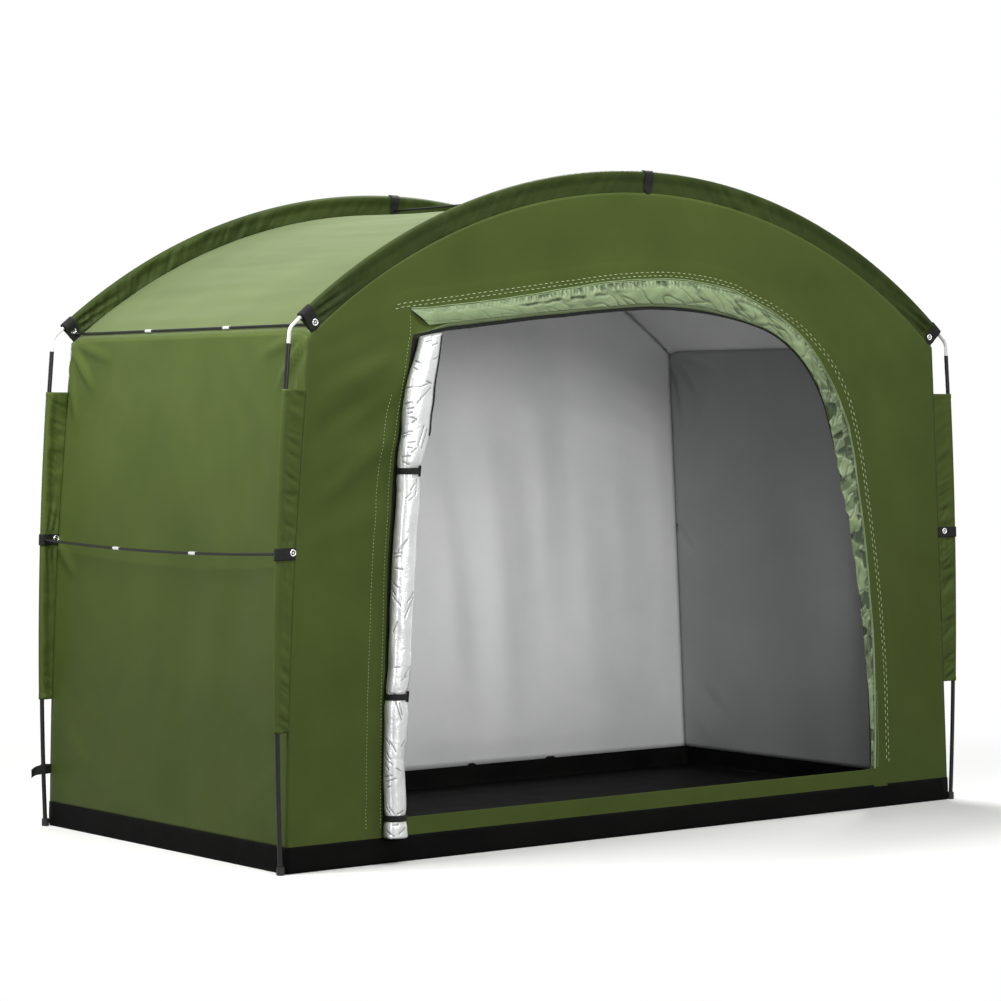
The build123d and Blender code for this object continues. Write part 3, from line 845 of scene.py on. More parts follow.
ends = (("front", -1), ("rear", 1))
for number, (endName, end) in enumerate(ends):
    shape = archShape(end, (None, archEnd), 0.0, 3.7 + 11 * number, True)
    piece = closeSleeve(endName + "ArchSleeve", gridCloth(sleeve["archSegments"], shape, None),
                        sleeveCloth, sleeve["thick"], archMiddle(end))
    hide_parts(endName + "_arch_sleeve")
    for step, (sideName, side) in enumerate(sides):
        shape = legShape(side, end, sleeveFoot, sleeveHead, 0.0, 20.3 + 7 * number + 13 * step, True)
        piece = closeSleeve(endName + sideName.capitalize() + "LegSleeve",
                            gridCloth(sleeve["legSegments"], shape, None), greenCloth,
                            sleeve["thick"], legMiddle(side, end))
        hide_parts(f"{endName}_{sideName}_leg_sleeve")
print("sleeves made")

# Straps of webbing round the sleeves
for endName, end in ends:
    spans = {
        "left_eave": (-archEnd, -archEnd + strap["eaveWide"] / archRadius),
        "crown": (-strap["wide"] / 2 / archRadius, strap["wide"] / 2 / archRadius),
        "right_eave": (archEnd - strap["eaveWide"] / archRadius, archEnd),
    }
    for spanName, span in spans.items():
        shape = archShape(end, span, strap["grow"] + strap["thick"], 0.0, False, strap["tip"])
        piece = closeSleeve(f"{endName}_{spanName}_webbing", gridCloth(strap["segments"], shape, None),
                            blackWebbing, strap["thick"], archMiddle(end))
        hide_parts(f"{endName}_{spanName}_strap")
    for sideName, side in sides:
        shape = legShape(side, end, midHeight - strap["wide"] / 2, midHeight + strap["wide"] / 2,
                         strap["grow"] + strap["thick"], 0.0, False)
        piece = closeSleeve(f"{endName}_{sideName}_mid_webbing", gridCloth(strap["segments"], shape, None),
                            blackWebbing, strap["thick"], legMiddle(side, end))
        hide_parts(f"{endName}_{sideName}_mid_strap")

# Low straps on the rear legs: round the bare pole, with a short tail
lowStrap = {"pocket": 0.0080, "half": 0.0016, "tail": 0.034, "wide": 0.026, "segments": (10, 40)}


def lowShape(side, end):
    def shape(u, v):
        z = lowHeight + u * lowStrap["wide"] / 2
        root = wallX(z, side) - 0.001
        out, offset = sleeveSection((v + 1) / 2, legX(z) - root, lowStrap["pocket"], lowStrap["half"])[:2]
        return Vector((side * (root + out), end * hoopY - end * offset, z)), (z, (v + 1) * 0.05)
    return shape


def tailShape(side, end):
    def shape(u, v):
        part = (v + 1) / 2
        x = legX(lowHeight) + lowStrap["pocket"] - 0.001 + part * lowStrap["tail"] * 0.8
        z = lowHeight - 0.002 + u * lowStrap["wide"] / 2 * (1 - 0.15 * part) - 0.010 * part * part
        return Vector((side * x, end * hoopY + 0.006 * math.sin(2.4 * part), z)), (z, part * lowStrap["tail"])
    return shape


for sideName, side in sides:
    loop = gridCloth(lowStrap["segments"], lowShape(side, 1), None)
    piece = closeSleeve(f"rear_{sideName}_low_webbing", loop, blackWebbing, strap["thick"],
                        legMiddle(side, 1))
    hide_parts(f"rear_{sideName}_low_strap")
    tail = makePiece(f"rear_{sideName}_low_tail",
                     gridCloth((8, 12), tailShape(side, 1), Vector((0, -1, 0))), [blackWebbing, blackWebbing])
    thicken(tail, strap["thick"])
print("straps made")

# Rolled door: crumpled silver cloth drawn in by its ties
roll = {
    "route": [(-0.760, 1.332), (-0.846, 0.705), (-0.857, 0.070)], "halfWide": 0.031, "halfDeep": 0.025,
    "segments": (600, 104), "ties": (0.27, 0.72, 0.9625), "pinch": 0.13, "pinchLength": 0.012,
    "girth": [(0.0, 0.90), (0.06, 1.16), (0.107, 1.36), (0.13, 1.40), (0.16, 1.32), (0.19, 1.26),
              (0.235, 1.18), (0.262, 1.0), (0.29, 0.97), (0.36, 1.03), (0.435, 0.97), (0.53, 1.03),
              (0.593, 0.975), (0.65, 0.955), (0.72, 0.95), (0.755, 1.0), (0.81, 0.99), (0.845, 0.88),
              (0.90, 0.87), (0.953, 0.94), (0.98, 1.02), (1.0, 1.04)],
    "drift": [(0.0, 0.009), (0.06, 0.0045), (0.107, 0.0), (0.16, 0.001), (0.19, 0.004), (0.24, -0.002),
              (0.267, -0.007), (0.31, 0.003), (0.435, 0.005), (0.53, 0.008), (0.66, 0.009),
              (0.72, 0.001), (0.81, 0.0), (0.845, -0.005), (1.0, -0.004)],
    "crease": 0.0024, "creaseHalf": 0.0019, "fine": 0.0014, "slant": 0.20,
    "length": 1.27, "meanRadius": 0.034,  # along the route and round it, to lay creases out flat
    "endRings": [(0.93, 0.003), (0.80, -0.004), (0.84, 0.004), (0.70, -0.004), (0.60, 0.003)],  # shrink, lift
}
rollY = -(wallFace + 0.0003 + roll["halfDeep"])

# Creases on the roll, read in pixels of two magnified views of the photograph, one of each half.
# A view holds the roll's left and right edge by pixel row, and the two ends of each crease as x, y, x, y
creaseReading = {
    "zoom": 5.6, "facing": 4.07, "rim": 0.93,  # facing is the turn that the camera saw in the middle
    # Pixel row in the photograph, and place along the roll
    "heights": [(334.3, 0.0), (471.8, 0.27), (697.0, 0.72), (824.6, 0.975), (837.0, 1.0)],
    # The side turned away gets an even scatter
    "backCount": 14, "backFrom": 0.04, "backStep": 0.066, "backLean": 0.014,
    "backRun": 0.35, "backLonger": 0.05, "turnFrom": 0.5, "turnStep": 1.37, "turnSpan": 2.4, "turnLow": 0.1,
}
creaseViews = [
    {
        "top": 320,
        "left": [(100, 240), (250, 205), (380, 170), (450, 150), (530, 145), (620, 140), (700, 130),
                 (750, 125),
                 (830, 120), (950, 125), (1100, 110), (1300, 100), (1500, 90)],
        "right": [(60, 370), (250, 350), (380, 335), (450, 330), (530, 322), (620, 315), (700, 295),
                  (750, 275),
                  (830, 250), (950, 250), (1100, 245), (1300, 230), (1500, 228)],
        "creases": [
            (278, 106, 318, 100), (290, 88, 318, 84), (322, 132, 350, 126), (332, 214, 350, 206),
            (228, 216, 256, 232), (226, 262, 246, 274), (180, 380, 232, 372), (232, 372, 272, 370),
            (272, 370, 322, 344), (268, 440, 322, 376), (250, 466, 270, 442), (168, 472, 216, 460),
            (186, 500, 226, 490), (192, 524, 216, 515), (198, 544, 236, 550), (214, 576, 246, 556),
            (148, 642, 214, 626), (150, 658, 198, 642), (190, 690, 236, 684), (186, 716, 214, 720),
            (206, 746, 240, 722), (150, 770, 200, 764), (252, 706, 290, 592), (266, 722, 304, 612),
            (152, 800, 190, 814), (202, 960, 224, 922), (226, 990, 236, 896), (170, 1002, 206, 970),
            (190, 1016, 214, 1000), (132, 1296, 186, 1232), (108, 1312, 150, 1304), (110, 1336, 146, 1324),
            (116, 1392, 160, 1400), (104, 1472, 140, 1500), (300, 340, 326, 352),
        ],
    },
    {
        "top": 580,
        "left": [(0, 120), (300, 110), (450, 105), (650, 88), (750, 85), (900, 82), (1000, 80), (1430, 82)],
        "right": [(0, 250), (300, 235), (450, 227), (650, 215), (750, 215), (900, 210), (1000, 195),
                  (1150, 195),
                  (1300, 200), (1380, 215)],
        "creases": [
            (128, 78, 174, 146), (126, 50, 146, 84), (200, 214, 222, 160), (214, 180, 240, 100),
            (212, 128, 244, 70), (134, 290, 158, 236), (140, 490, 168, 486), (196, 540, 218, 490),
            (186, 560, 206, 540), (112, 630, 150, 640), (150, 680, 186, 784), (176, 690, 190, 760),
            (92, 880, 116, 920), (116, 900, 150, 960), (180, 930, 202, 900), (86, 980, 130, 1030),
            (96, 960, 120, 1000), (88, 1030, 110, 1060), (150, 1050, 180, 1070), (88, 1100, 130, 1090),
            (92, 1130, 150, 1110), (94, 1160, 120, 1150), (110, 1270, 140, 1310), (160, 1310, 192, 1290),
            (92, 1270, 110, 1300), (100, 1400, 140, 1430), (170, 1420, 206, 1390), (130, 1370, 170, 1366),
        ],
    },
]


def creaseEnd(view, x, y):
    # Where a reading lies: its place along the roll, and its turn round it from the side that was seen
    left, right = readTable(view["left"], y), readTable(view["right"], y)
    across = (x - (left + right) / 2) / ((right - left) / 2)
    across = max(-creaseReading["rim"], min(creaseReading["rim"], across))
    place = readTable(creaseReading["heights"], view["top"] + y / creaseReading["zoom"])
    return round(place, 3), round(creaseReading["facing"] + math.asin(across), 2)


def listCreases():
    creases = []
    for view in creaseViews:
        for x0, y0, x1, y1 in view["creases"]:
            creases.append(creaseEnd(view, x0, y0) + creaseEnd(view, x1, y1))
    back = creaseReading
    for number in range(back["backCount"]):
        place = round(back["backFrom"] + number * back["backStep"], 3)
        turn = round((back["turnFrom"] + back["turnStep"] * number) % back["turnSpan"] + back["turnLow"], 2)
        lean = back["backLean"] if number % 2 == 0 else -back["backLean"]
        stop = round(turn + back["backRun"] + back["backLonger"] * (number % 4), 2)
        creases.append((place, turn, round(place + lean, 3), stop))
    return creases


rollCreases = listCreases()


def rollPoint(t):
    (x0, z0), (x1, z1), (x2, z2) = roll["route"]
    z = z0 + t * (z2 - z0)
    a = (z - z1) * (z - z2) / ((z0 - z1) * (z0 - z2))
    b = (z - z0) * (z - z2) / ((z1 - z0) * (z1 - z2))
    c = (z - z0) * (z - z1) / ((z2 - z0) * (z2 - z1))
    return Vector((a * x0 + b * x1 + c * x2 + readTable(roll["drift"], t), rollY, z))


def rollGirth(t):
    girth = readTable(roll["girth"], t) + 0.03 * noiseAt(t * 14.0, 1.7, 0.0)
    for tiePlace in roll["ties"]:
        girth -= roll["pinch"] * math.exp(-((t - tiePlace) / roll["pinchLength"]) ** 2)
    return girth


def slit(value, sharp):
    return max(0.0, 1 - abs(value) * sharp) ** 2  # a narrow groove wherever the noise crosses nothing


rollPaintedShade = []


def rollMarks(length, turn):
    deepest = 0.0
    for t0, turn0, t1, turn1 in rollCreases:
        along, across = length - t0 * roll["length"], (turn - turn0) * roll["meanRadius"]
        if abs(along) < 0.05:
            run = Vector(((t1 - t0) * roll["length"], (turn1 - turn0) * roll["meanRadius"]))
            share = min(1.0, max(0.0, (along * run.x + across * run.y) / run.length_squared))
            away = math.hypot(along - share * run.x, across - share * run.y)
            deepest = max(deepest, 1 - smoothStep(away, 0.2 * roll["creaseHalf"], 1.3 * roll["creaseHalf"]))
    return deepest


def rollShape(u, v):
    t = (u + 1) / 2
    turn = (v + 1) * math.pi
    centre = rollPoint(t)
    length = t * roll["length"]
    flat = Vector((math.cos(turn), math.sin(turn)))
    marks = rollMarks(length, turn)
    soft = noiseAt(flat.x * 1.1 + 8.0, flat.y * 1.1, length * 15.0)
    near = min(abs(t - tiePlace) for tiePlace in roll["ties"])
    fan = slit(math.sin(turn * 4.5 + 2.0 * noiseAt(t * 16, 0, 0)), 2.6) * math.exp(-(near / 0.030) ** 2)
    marks += 0.4 * fan
    # painted shade: the creases and the fans by the ties also darken the roll's colour
    rollPaintedShade.append(0.8 * min(1.0, marks))
    swell = roll["fine"] * soft * 1.6 - roll["crease"] * min(1.0, marks)
    lap = 0.0022 * smoothStep(math.sin(turn - 0.6), -0.05, 0.05)  # the free edge of the roll
    girth = rollGirth(t)
    wide, deep = roll["halfWide"] * girth + swell + lap, roll["halfDeep"] * min(girth, 1.06) + swell + lap
    place = centre + Vector((wide * flat.x, deep * flat.y, 0))
    place.y = min(place.y, -(wallFace + 0.0015))
    place.z += roll["slant"] * wide * flat.x * (1 - smoothStep(t, 0.0, 0.08))  # the top is cut on the slant
    return place, (length, turn * roll["halfWide"])


def buildRoll():
    rollPaintedShade.clear()
    bm = gridCloth(roll["segments"], rollShape, None)
    setPaintedShade(bm, rollPaintedShade)
    bmesh.ops.remove_doubles(bm, verts=bm.verts[:], dist=1e-5)
    for atTop in (True, False):
        rim = [edge for edge in bm.edges if edge.is_boundary and (edge.verts[0].co.z > 0.7) == atTop]
        middle = rollPoint(0.0 if atTop else 1.0)
        for step in range(len(roll["endRings"])):  # the wound layers show as rings at the end
            rim, verts = extrudeRim(bm, rim)
            shrink, lift = roll["endRings"][step]
            lift *= 1 if atTop else -1
            for vert in verts:
                vert.co = middle + (vert.co - middle) * shrink + Vector((0, 0, lift))
        bmesh.ops.pointmerge(bm, verts=list({v for e in rim for v in e.verts}), merge_co=middle)
    bmesh.ops.recalc_face_normals(bm, faces=bm.faces[:])
    return bm


rollPiece = makePiece("doorRoll", buildRoll(), [silverRoll])
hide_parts("door_roll")
print("door roll made")

# Ties round the roll, two with a slotted buckle
tie = {
    "wide": 0.016, "lift": 0.0052, "thick": 0.0014, "segments": (6, 64), "buckled": (True, True, False),
    "buckle": (0.016, 0.027, 0.005), "bar": 0.0042, "bevel": 0.0012, "turn": 0.70,
}


def tieShape(place):
    def shape(u, v):
        t = place + u * tie["wide"] / 2 / roll["length"]
        turn = (v + 1) * math.pi
        girth = rollGirth(place)
        centre = rollPoint(t)
        wide, deep = roll["halfWide"] * girth + tie["lift"], roll["halfDeep"] * girth + tie["lift"]
        y = min(centre.y + deep * math.sin(turn), -(wallFace + 0.0012))
        return Vector((centre.x + wide * math.cos(turn), y, centre.z)), (u * tie["wide"] / 2, turn * wide)
    return shape


def addBuckle(bm, place):
    # A moulded ladder buckle of five bevelled bars, flat against the front right of the roll
    wide, tall, deep = tie["buckle"]
    bar = tie["bar"]
    rungs = [(0, (tall - bar) / 2, wide, bar), (0, (bar - tall) / 2, wide, bar), (0, 0, wide, bar)]
    rails = [((wide - bar) / 2, 0, bar, tall), ((bar - wide) / 2, 0, bar, tall)]
    ahead = rollPoint(place - 0.02) - rollPoint(place + 0.02)
    lean = Matrix.Rotation(math.atan2(ahead.x, ahead.z), 4, "Y")
    girth = rollGirth(place)
    seat = rollPoint(place) + Vector(((roll["halfWide"] * girth + 0.004) * math.cos(tie["turn"]),
                                      -(roll["halfDeep"] * girth + 0.004) * math.sin(tie["turn"]), 0))
    for dx, dz, sx, sz in rungs + rails:
        cube = bmesh.ops.create_cube(bm, size=1.0)["verts"]
        bmesh.ops.scale(bm, verts=cube, vec=(sx, deep, sz))
        edges = list({edge for vert in cube for edge in vert.link_edges})
        made = bmesh.ops.bevel(bm, geom=edges, offset=tie["bevel"], affect="EDGES", segments=2, profile=0.5,
                               material=-1)
        block = list({vert for face in made["faces"] for vert in face.verts})
        bmesh.ops.translate(bm, verts=block, vec=(dx, 0, dz))
        bmesh.ops.rotate(bm, verts=block, cent=(0, 0, 0), matrix=lean @ Matrix.Rotation(0.85, 4, "Z"))
        bmesh.ops.translate(bm, verts=block, vec=seat)


def buildTies():
    parts = []
    for place, buckled in zip(roll["ties"], tie["buckled"]):
        bm = closedGrid(tie["segments"], tieShape(place))
        if buckled:
            addBuckle(bm, place)
        parts.append(bm)
    return joinMeshes(parts)


tiePiece = makePiece("doorRollTies", buildTies(), [blackWebbing, blackWebbing])
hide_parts("door_roll_ties")
print("ties made")

# Weather flap gathered into the seam round the top and right of the doorway
flap = {
    "segments": (1000, 30), "thick": 0.0009, "mitre": 0.046, "footMitre": 0.010, "bulge": 0.16,
    # How strong each kind of fold is along the doorway
    "gathers": [(0.0, 0.2), (0.15, 0.4), (0.34, 0.6), (0.38, 1.0), (0.84, 1.0), (0.95, 0.4), (1.30, 0.5),
                (1.5, 1.0)],
    "tucks": [(0.33, 0.0), (0.37, 1.0), (0.56, 1.0), (0.64, 0.6), (0.74, 0.0)],
    "facets": [(0.0, 0.6), (0.12, 0.3), (0.36, 0.25), (0.66, 0.8), (0.90, 0.8), (1.0, 0.3), (1.2, 1.0),
               (1.6, 1.0)],
    "streaks": [(0.86, 0.0), (0.98, 1.0), (1.22, 1.0), (1.32, 0.2), (1.5, 0.0)],
    "lobes": [(1.40, 0.0), (1.54, 1.0)], "gaps": [(1.40, 0.5), (1.70, 0.8), (2.25, 0.9), (2.45, 1.0)],
}
flapPaintedShade = []


def flapShape(u, v):
    place = (u + 1) / 2 * doorLength
    w = (v + 1) / 2  # 0 at the piping, 1 at the free edge
    start = flap["mitre"] * w  # the top left end is folded back on the slant
    place = start + place * (doorLength - start - flap["footMitre"] * w) / doorLength
    head, foot = readTable(door["head"], place), readTable(door["foot"], place)
    wide = head - foot
    gathers = slit(noiseAt(place / 0.013 + 0.9 * w, w * 0.4, 5.0), 2.6) * (1 - smoothStep(w, 0.14, 0.42))
    gathers *= readTable(flap["gathers"], place)
    middle = 0.46 + 0.10 * noiseAt(place / 0.05, 0.0, 1.0)
    tuck = readTable(flap["tucks"], place) * math.exp(-((w - middle) / 0.075) ** 2)
    tuck *= smoothStep(noiseAt(place / 0.04, 2.0, 1.0), -0.45, 0.05)
    facet = noiseAt(place / 0.042 + 1.6 * w, w * 1.3, 3.0)
    crease = slit(noiseAt(place / 0.055 - 1.5 * w, w * 1.2, 6.0), 7.0) * readTable(flap["facets"], place)
    streak = slit(noiseAt(place / 0.16, w * 3.6, 7.0), 4.0) * readTable(flap["streaks"], place)
    loose = readTable(flap["lobes"], place)
    tilt = 0.9 * w * noiseAt(place / 0.11, 6.0, 0.0)
    gap = noiseAt(place / 0.050 + tilt, w * 0.9, 4.0)
    shade = smoothStep(noiseAt(place / 0.045 - 0.9 * w, w * 0.6, 12.0), 0.02, 0.12)
    lobe = 1 - smoothStep(gap, 0.10, 0.22) * smoothStep(w, -0.2, 0.25) * readTable(flap["gaps"], place)
    pocket = smoothStep(noiseAt(place / 0.032, w * 0.7, 8.0), 0.08, 0.22) * (1 - smoothStep(w, 0.25, 0.60))
    lobe = min(lobe, 1 - pocket)
    thread = slit(noiseAt(place / 0.012 - 1.4 * w, w * 0.8, 9.0), 3.0) * (1 - smoothStep(w, 0.2, 0.75))
    puff = math.sin(math.pi * min(1.0, w * 0.82 + 0.10)) ** 0.8
    lift = flap["bulge"] * puff + 0.07 * readTable(flap["facets"], place) * facet * math.sin(math.pi * w)
    lift += loose * puff * (0.20 * lobe - 0.10) + loose * 0.10 * facet * w
    # painted shade: the gathers, tucks, creases, streaks, gaps between lobes, slits and shade patches both sink
    # the flap and darken its colour
    looseHollowAndPaintedShade = 0.9 * (1 - lobe) + 0.6 * thread * lobe + 0.5 * shade
    hollowAndPaintedShade = gathers + 0.9 * tuck + 0.6 * crease + 0.55 * streak + loose * looseHollowAndPaintedShade
    lift -= 0.13 * min(1.0, hollowAndPaintedShade)
    flapPaintedShade.append(0.85 * hollowAndPaintedShade)
    grow = head - w * wide + loose * (1 - lobe) * 0.22 * wide * w
    point = doorPoint(place, grow)[0]
    base = wallFace + 0.0016 + frontWall["facingLift"]
    return Vector((point.x, -(base + wide * max(0.0, lift)), point.y)), (place, w * wide)


def buildFlap():
    bm = gridCloth(flap["segments"], flapShape, Vector((0, -1, 0)))
    setPaintedShade(bm, flapPaintedShade)
    return bm


flapPiece = makePiece("doorWeatherFlap", buildFlap(), [flapCloth, flapCloth])
thicken(flapPiece, flap["thick"])
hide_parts("door_weather_flap")
print("weather flap made")

# Piping: two cords sewn along the head of the flap, and a rolled hem along the edge of the doorway
piping = {"steps": (0.0006, 0.0046), "radius": 0.0014, "hemDeep": 0.0026, "hemStop": 1.30, "segments": (700, 8)}


def cordShape(step):
    def shape(u, v):
        place = (u + 1) / 2 * doorLength
        wave = 0.0008 * noiseAt(place / 0.05, 0.0, 4.0 + step * 900)
        turn = v * math.pi
        grow = readTable(door["head"], place) + step + wave + piping["radius"] * math.cos(turn)
        point = doorPoint(place, grow)[0]
        lift = frontWall["facingLift"] + 0.0012 + piping["radius"] * (0.4 + math.sin(turn))
        return Vector((point.x, -(wallFace + lift), point.y)), (place, piping["radius"] * turn)
    return shape


def hemShape(u, v):
    place = (u + 1) / 2 * piping["hemStop"]
    low = readTable(door["edge"], place)
    high = low + (readTable(door["foot"], place) + 0.004 - low) * (0.1 + 0.9 * smoothStep(place, 0.04, 0.14))
    turn = v * math.pi
    point = doorPoint(place, (low + high) / 2 + (high - low) / 2 * math.cos(turn))[0]
    lift = frontWall["facingLift"] + 0.0008 + piping["hemDeep"] * math.sin(turn)
    return Vector((point.x, -(wallFace + lift), point.y)), (place, 0.005 * turn)


cords = [closedGrid(piping["segments"], cordShape(step)) for step in piping["steps"]]
# the cords take the flap's cloth, whose paler base colour is painted light
makePiece("flapPiping", joinMeshes(cords), [flapCloth])
makePiece("doorHem", closedGrid(piping["segments"], hemShape), [hemCloth])
print("piping made")

# Zip tape along the edge of the doorway, and fine teeth where they leave the flap low on the free jamb
zipRun = {
    "inner": [(0.3, -0.009), (0.9, -0.008), (1.15, -0.004)], "outer": 0.006, "lift": 0.0006,
    "segments": (400, 4), "leftWide": 0.030, "rollStop": 0.20,
    "toothPitch": 0.0055, "tooth": (0.0032, 0.0019, 0.0019),
    "teeth": [  # two rows, each along and out from the curved edge
        [(2.10, 0.036), (2.27, 0.028), (2.40, 0.021), (2.49, 0.017), (2.58, 0.012), (2.62, 0.008)],
        [(2.40, 0.029), (2.46, 0.029), (2.54, 0.029), (2.62, 0.026)],
    ],
}


def zipShape(u, v):
    place = (u + 1) / 2 * doorLength
    inner = readTable(zipRun["inner"], place)
    grow = readTable(door["edge"], place) + inner + (v + 1) / 2 * (zipRun["outer"] - inner)
    point = doorPoint(place, grow)[0]
    return Vector((point.x, -(wallFace + zipRun["lift"]), point.y)), (place, grow)


# A black tape down the left jamb, laid wide enough that it also stands in as painted shadow in the gap beside
# the roll
def leftTapeAndPaintedShadowShape(u, v):
    z = door["sill"] + (u + 1) / 2 * (doorTop.y - door["sill"])
    x = readTable(door["jamb"], z) + (v + 1) / 2 * zipRun["leftWide"]
    return Vector((x, -(wallFace + zipRun["lift"] + max(0.0, frontLift(x, z)) + 0.0006), z)), (z, x)


def rollTapeShape(u, v):
    t = (u + 1) / 2 * zipRun["rollStop"]
    place, flat = rollShape(2 * t - 1, (5.50 + 0.13 * v) / math.pi - 1)
    centre = rollPoint(t)
    outward = Vector((place.x - centre.x, place.y - centre.y, 0)).normalized()
    return place + 0.0022 * outward, flat


tapes = [(zipRun["segments"], zipShape), ((120, 6), leftTapeAndPaintedShadowShape), ((60, 4), rollTapeShape)]
tapeCloth = joinGrids(tapes, Vector((0, -1, 0)))
tapePiece = makePiece("zipTape", tapeCloth, [blackWebbing, blackWebbing])
thicken(tapePiece, 0.0008)


def makeBead():
    bm = bmesh.new()
    bmesh.ops.create_uvsphere(bm, u_segments=6, v_segments=4, radius=0.5)
    mesh = bpy.data.meshes.new("beadPattern")
    bm.to_mesh(mesh)
    bm.free()
    return mesh


beadPattern = makeBead()


def placeBead(bm, size, place, heading):
    # A small rounded bead, long along the heading in the plane of the front wall
    bead = beadPattern.copy()
    turn = Matrix.Rotation(-math.atan2(heading.y, heading.x), 4, "Y")
    bead.transform(Matrix.Translation(place) @ turn @ Matrix.Diagonal((*size, 1.0)))
    bm.from_mesh(bead)
    bpy.data.meshes.remove(bead)


def buildTeeth():
    bm = bmesh.new()
    for row in zipRun["teeth"]:
        count = int((row[-1][0] - row[0][0]) / zipRun["toothPitch"])
        for i in range(count):
            place = row[0][0] + i * zipRun["toothPitch"]
            point, out = doorPoint(place, readTable(row, place))
            lift = wallFace + frontLift(point.x, point.y) + 0.0020
            placeBead(bm, zipRun["tooth"], Vector((point.x, -lift, point.y)), Vector((out.y, -out.x)))
    return bm


makePiece("zipTeeth", buildTeeth(), [zipTooth])
print("zip made")

# Stitch rows round the doorway, in pale thread
stitch = {"from": -0.042, "pitch": 0.0183, "dash": (0.0130, 0.0019, 0.0022), "jambRows": (0.010, 0.044),
          "jambDash": (0.0050, 0.0013, 0.0016), "jambPitch": 0.009, "jambFrom": 0.09, "jambTop": 1.385,
          "jambDrop": 0.20}


def buildStitches():
    bm = bmesh.new()
    for row in (0, 1):
        count = int((doorLength - stitch["from"]) / stitch["pitch"])
        for i in range(count):
            place = stitch["from"] + (i + 0.5 * row) * stitch["pitch"]
            point, out = doorPoint(place, readTable(door["rows"], place) + row * door["rowStep"])
            spot = Vector((point.x, -(wallFace + frontLift(point.x, point.y) + 0.0005), point.y))
            placeBead(bm, stitch["dash"], spot, Vector((out.y, -out.x)))
    for row, step in enumerate(stitch["jambRows"]):
        tall = stitch["jambTop"] - stitch["jambDrop"] * row - stitch["jambFrom"]
        count = int(tall / stitch["jambPitch"])
        for i in range(count):
            z = stitch["jambFrom"] + tall * (i + 0.5) / count
            x = readTable(door["jamb"], z) - step - (0.012 * (1 - z) if row else 0.0)
            ahead = Vector((readTable(door["jamb"], z + 0.02) - readTable(door["jamb"], z - 0.02), 0.04))
            spot = Vector((x, -(wallFace + frontLift(x, z) + 0.0003), z))
            placeBead(bm, stitch["jambDash"], spot, ahead.normalized())
    return bm


makePiece("doorStitching", buildStitches(), [paleThread])
print("stitches made")

# Carried-over solids keep their shape and get their real finishes
finishes = {"_leg": blackTube, "_arch_pole": blackTube, "_elbow": whiteElbow, "foot_caps": blackCap,
            "_rod": blackRod, "rod_ferrules": drawnFerrule, "strap_studs": nickelStud}
for nodeName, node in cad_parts.items():
    for ending, material in finishes.items():
        if nodeName.endswith(ending):
            node.data.materials.clear()
            node.data.materials.append(material)

# Floor, light and camera
stageLook = {
    "floor": "#fafaf8", "bounce": "#2e2e2b", "clearFrom": 1.35, "clearTo": 2.8, "sky": 0.12,
    "softboxes": {  # place, aim, watts, width, depth
        "fillSoftbox": ((-2.1, -7.2, 2.3), (0.0, 0.0, 0.9), 205, 1.5, 1.5),
        "frontSoftbox": ((-0.3, -2.0, 3.6), (0.0, -0.9, 0.8), 72, 3.2, 0.9),
        "sideSoftbox": ((-2.5, -0.1, 2.6), (-1.1, 0.0, 1.0), 76, 0.9, 1.8),
        "topSoftbox": ((1.2, 0.5, 3.4), (0.1, 0.4, 1.7), 95, 1.0, 1.2),
        "rearSoftbox": ((1.4, 5.2, 1.2), (0.0, 0.6, 0.8), 130, 2.4, 1.2),
        "insideSoftbox": ((0.97, -0.47, 0.55), (-0.4, 0.575, 0.50), 3.2, 0.12, 0.7),
    },
}


def seenRays(tree):
    # 1 for rays that the camera sees, straight, mirrored or through, and 0 for rays that only carry light
    path = addNode(tree, "LightPath")
    either = addNode(tree, "Math", {"operation": "MAXIMUM"},
                     {0: path.outputs["Is Camera Ray"], 1: path.outputs["Is Glossy Ray"]})
    shown = addNode(tree, "Math", {"operation": "MAXIMUM"},
                    {0: either.outputs[0], 1: path.outputs["Is Transmission Ray"]})
    return shown.outputs[0]


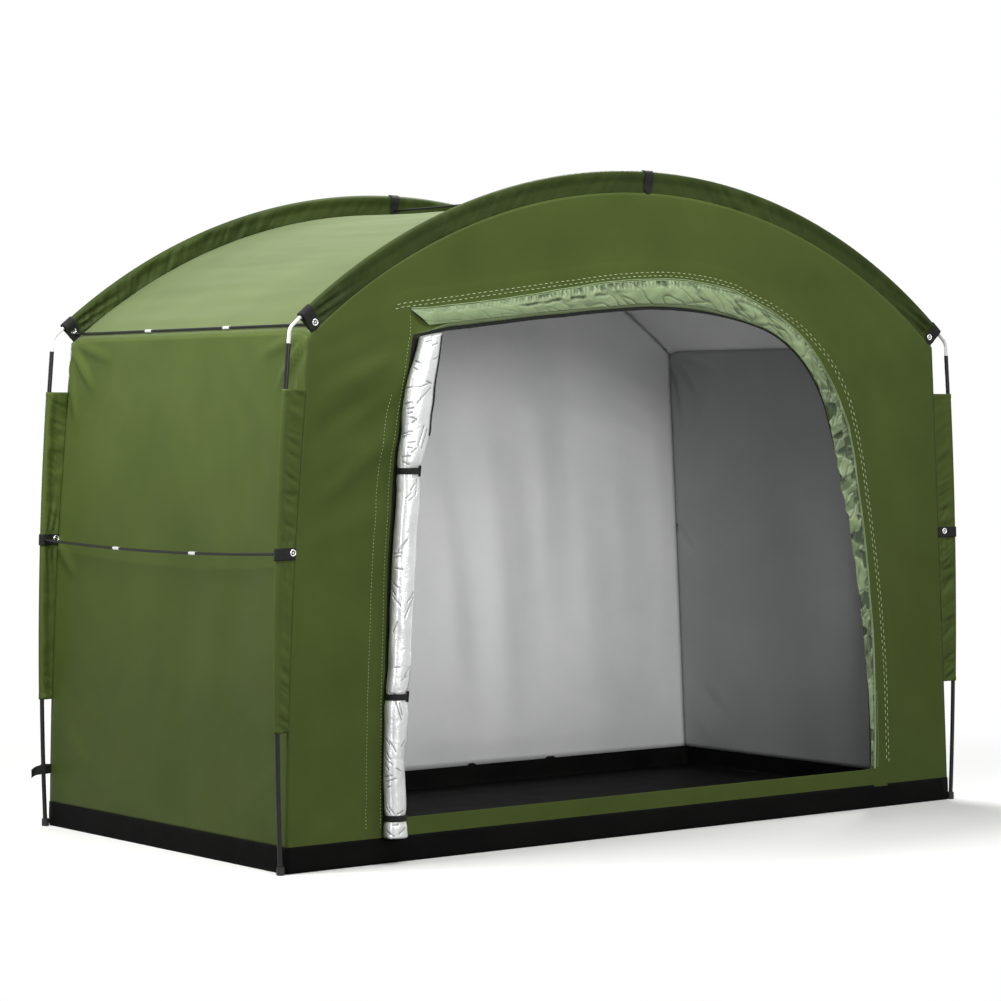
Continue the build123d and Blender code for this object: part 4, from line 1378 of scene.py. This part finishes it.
def buildFloor():
    bm = bmesh.new()
    bmesh.ops.create_grid(bm, x_segments=1, y_segments=1, size=40.0)
    bmesh.ops.translate(bm, verts=bm.verts[:], vec=(0, 0, -0.0006))
    mesh = bpy.data.meshes.new("studioFloor")
    bm.to_mesh(mesh)
    bm.free()
    floor = bpy.data.objects.new("studioFloor", mesh)
    scene.collection.objects.link(floor)
    material = bpy.data.materials.new("studio_floor")
    material.use_nodes = True
    tree = material.node_tree
    tree.nodes.clear()
    space = addNode(tree, "TexCoord")
    far = addNode(tree, "VectorMath", {"operation": "LENGTH"}, {0: space.outputs["Object"]})
    clear = addNode(tree, "MapRange", {"interpolation_type": "SMOOTHSTEP", "From Min": stageLook["clearFrom"],
                                       "From Max": stageLook["clearTo"]}, {"Value": far.outputs["Value"]})
    pale = addNode(tree, "BsdfDiffuse", {"Color": toLinear(stageLook["floor"])})
    white = addNode(tree, "Emission", {"Color": (1, 1, 1, 1), "Strength": 1.0})
    seen = addNode(tree, "MixShader",
                   links={0: clear.outputs["Result"], 1: pale.outputs[0], 2: white.outputs[0]})
    dull = addNode(tree, "BsdfDiffuse", {"Color": toLinear(stageLook["bounce"])})
    mixed = addNode(tree, "MixShader", links={0: seenRays(tree), 1: dull.outputs[0], 2: seen.outputs[0]})
    addNode(tree, "OutputMaterial", links={"Surface": mixed.outputs[0]})
    mesh.materials.append(material)


def buildSky():
    world = bpy.data.worlds.new("studioSky")
    scene.world = world
    world.use_nodes = True
    tree = world.node_tree
    tree.nodes.clear()
    light = addNode(tree, "Background", {"Color": (1, 1, 1, 1), "Strength": stageLook["sky"]})
    white = addNode(tree, "Background", {"Color": (1, 1, 1, 1), "Strength": 1.0})
    mixed = addNode(tree, "MixShader", links={0: seenRays(tree), 1: light.outputs[0], 2: white.outputs[0]})
    addNode(tree, "OutputWorld", links={"Surface": mixed.outputs[0]})


def addSoftbox(name, place, aim, watts, width, paintedShadeAmount):
    lamp = bpy.data.lights.new(name, "AREA")
    lamp.shape = "RECTANGLE"
    lamp.size, lamp.size_y = width, paintedShadeAmount
    lamp.energy = watts
    box = bpy.data.objects.new(name, lamp)
    box.location = place
    box.visible_camera = False  # other views look past it
    box.rotation_euler = (Vector(aim) - Vector(place)).to_track_quat("-Z", "Y").to_euler()
    scene.collection.objects.link(box)


cameraView = {"place": (-5.3458, -6.6706, 1.1240), "yaw": 0.6713, "pitch": -0.0274, "focalPixels": 3000,
              "imagePixels": 1001}


def buildCamera():
    lens = bpy.data.cameras.new("photoCamera")
    lens.sensor_width = 36.0
    lens.lens = 36.0 * cameraView["focalPixels"] / cameraView["imagePixels"]
    camera = bpy.data.objects.new("photoCamera", lens)
    camera.location = cameraView["place"]
    camera.rotation_euler = (math.pi / 2 + cameraView["pitch"], 0, -cameraView["yaw"])
    scene.collection.objects.link(camera)
    scene.camera = camera


buildFloor()
buildSky()
for boxName, settings in stageLook["softboxes"].items():
    addSoftbox(boxName, *settings)
buildCamera()
scene.view_settings.view_transform = "Standard"
print("stage made")
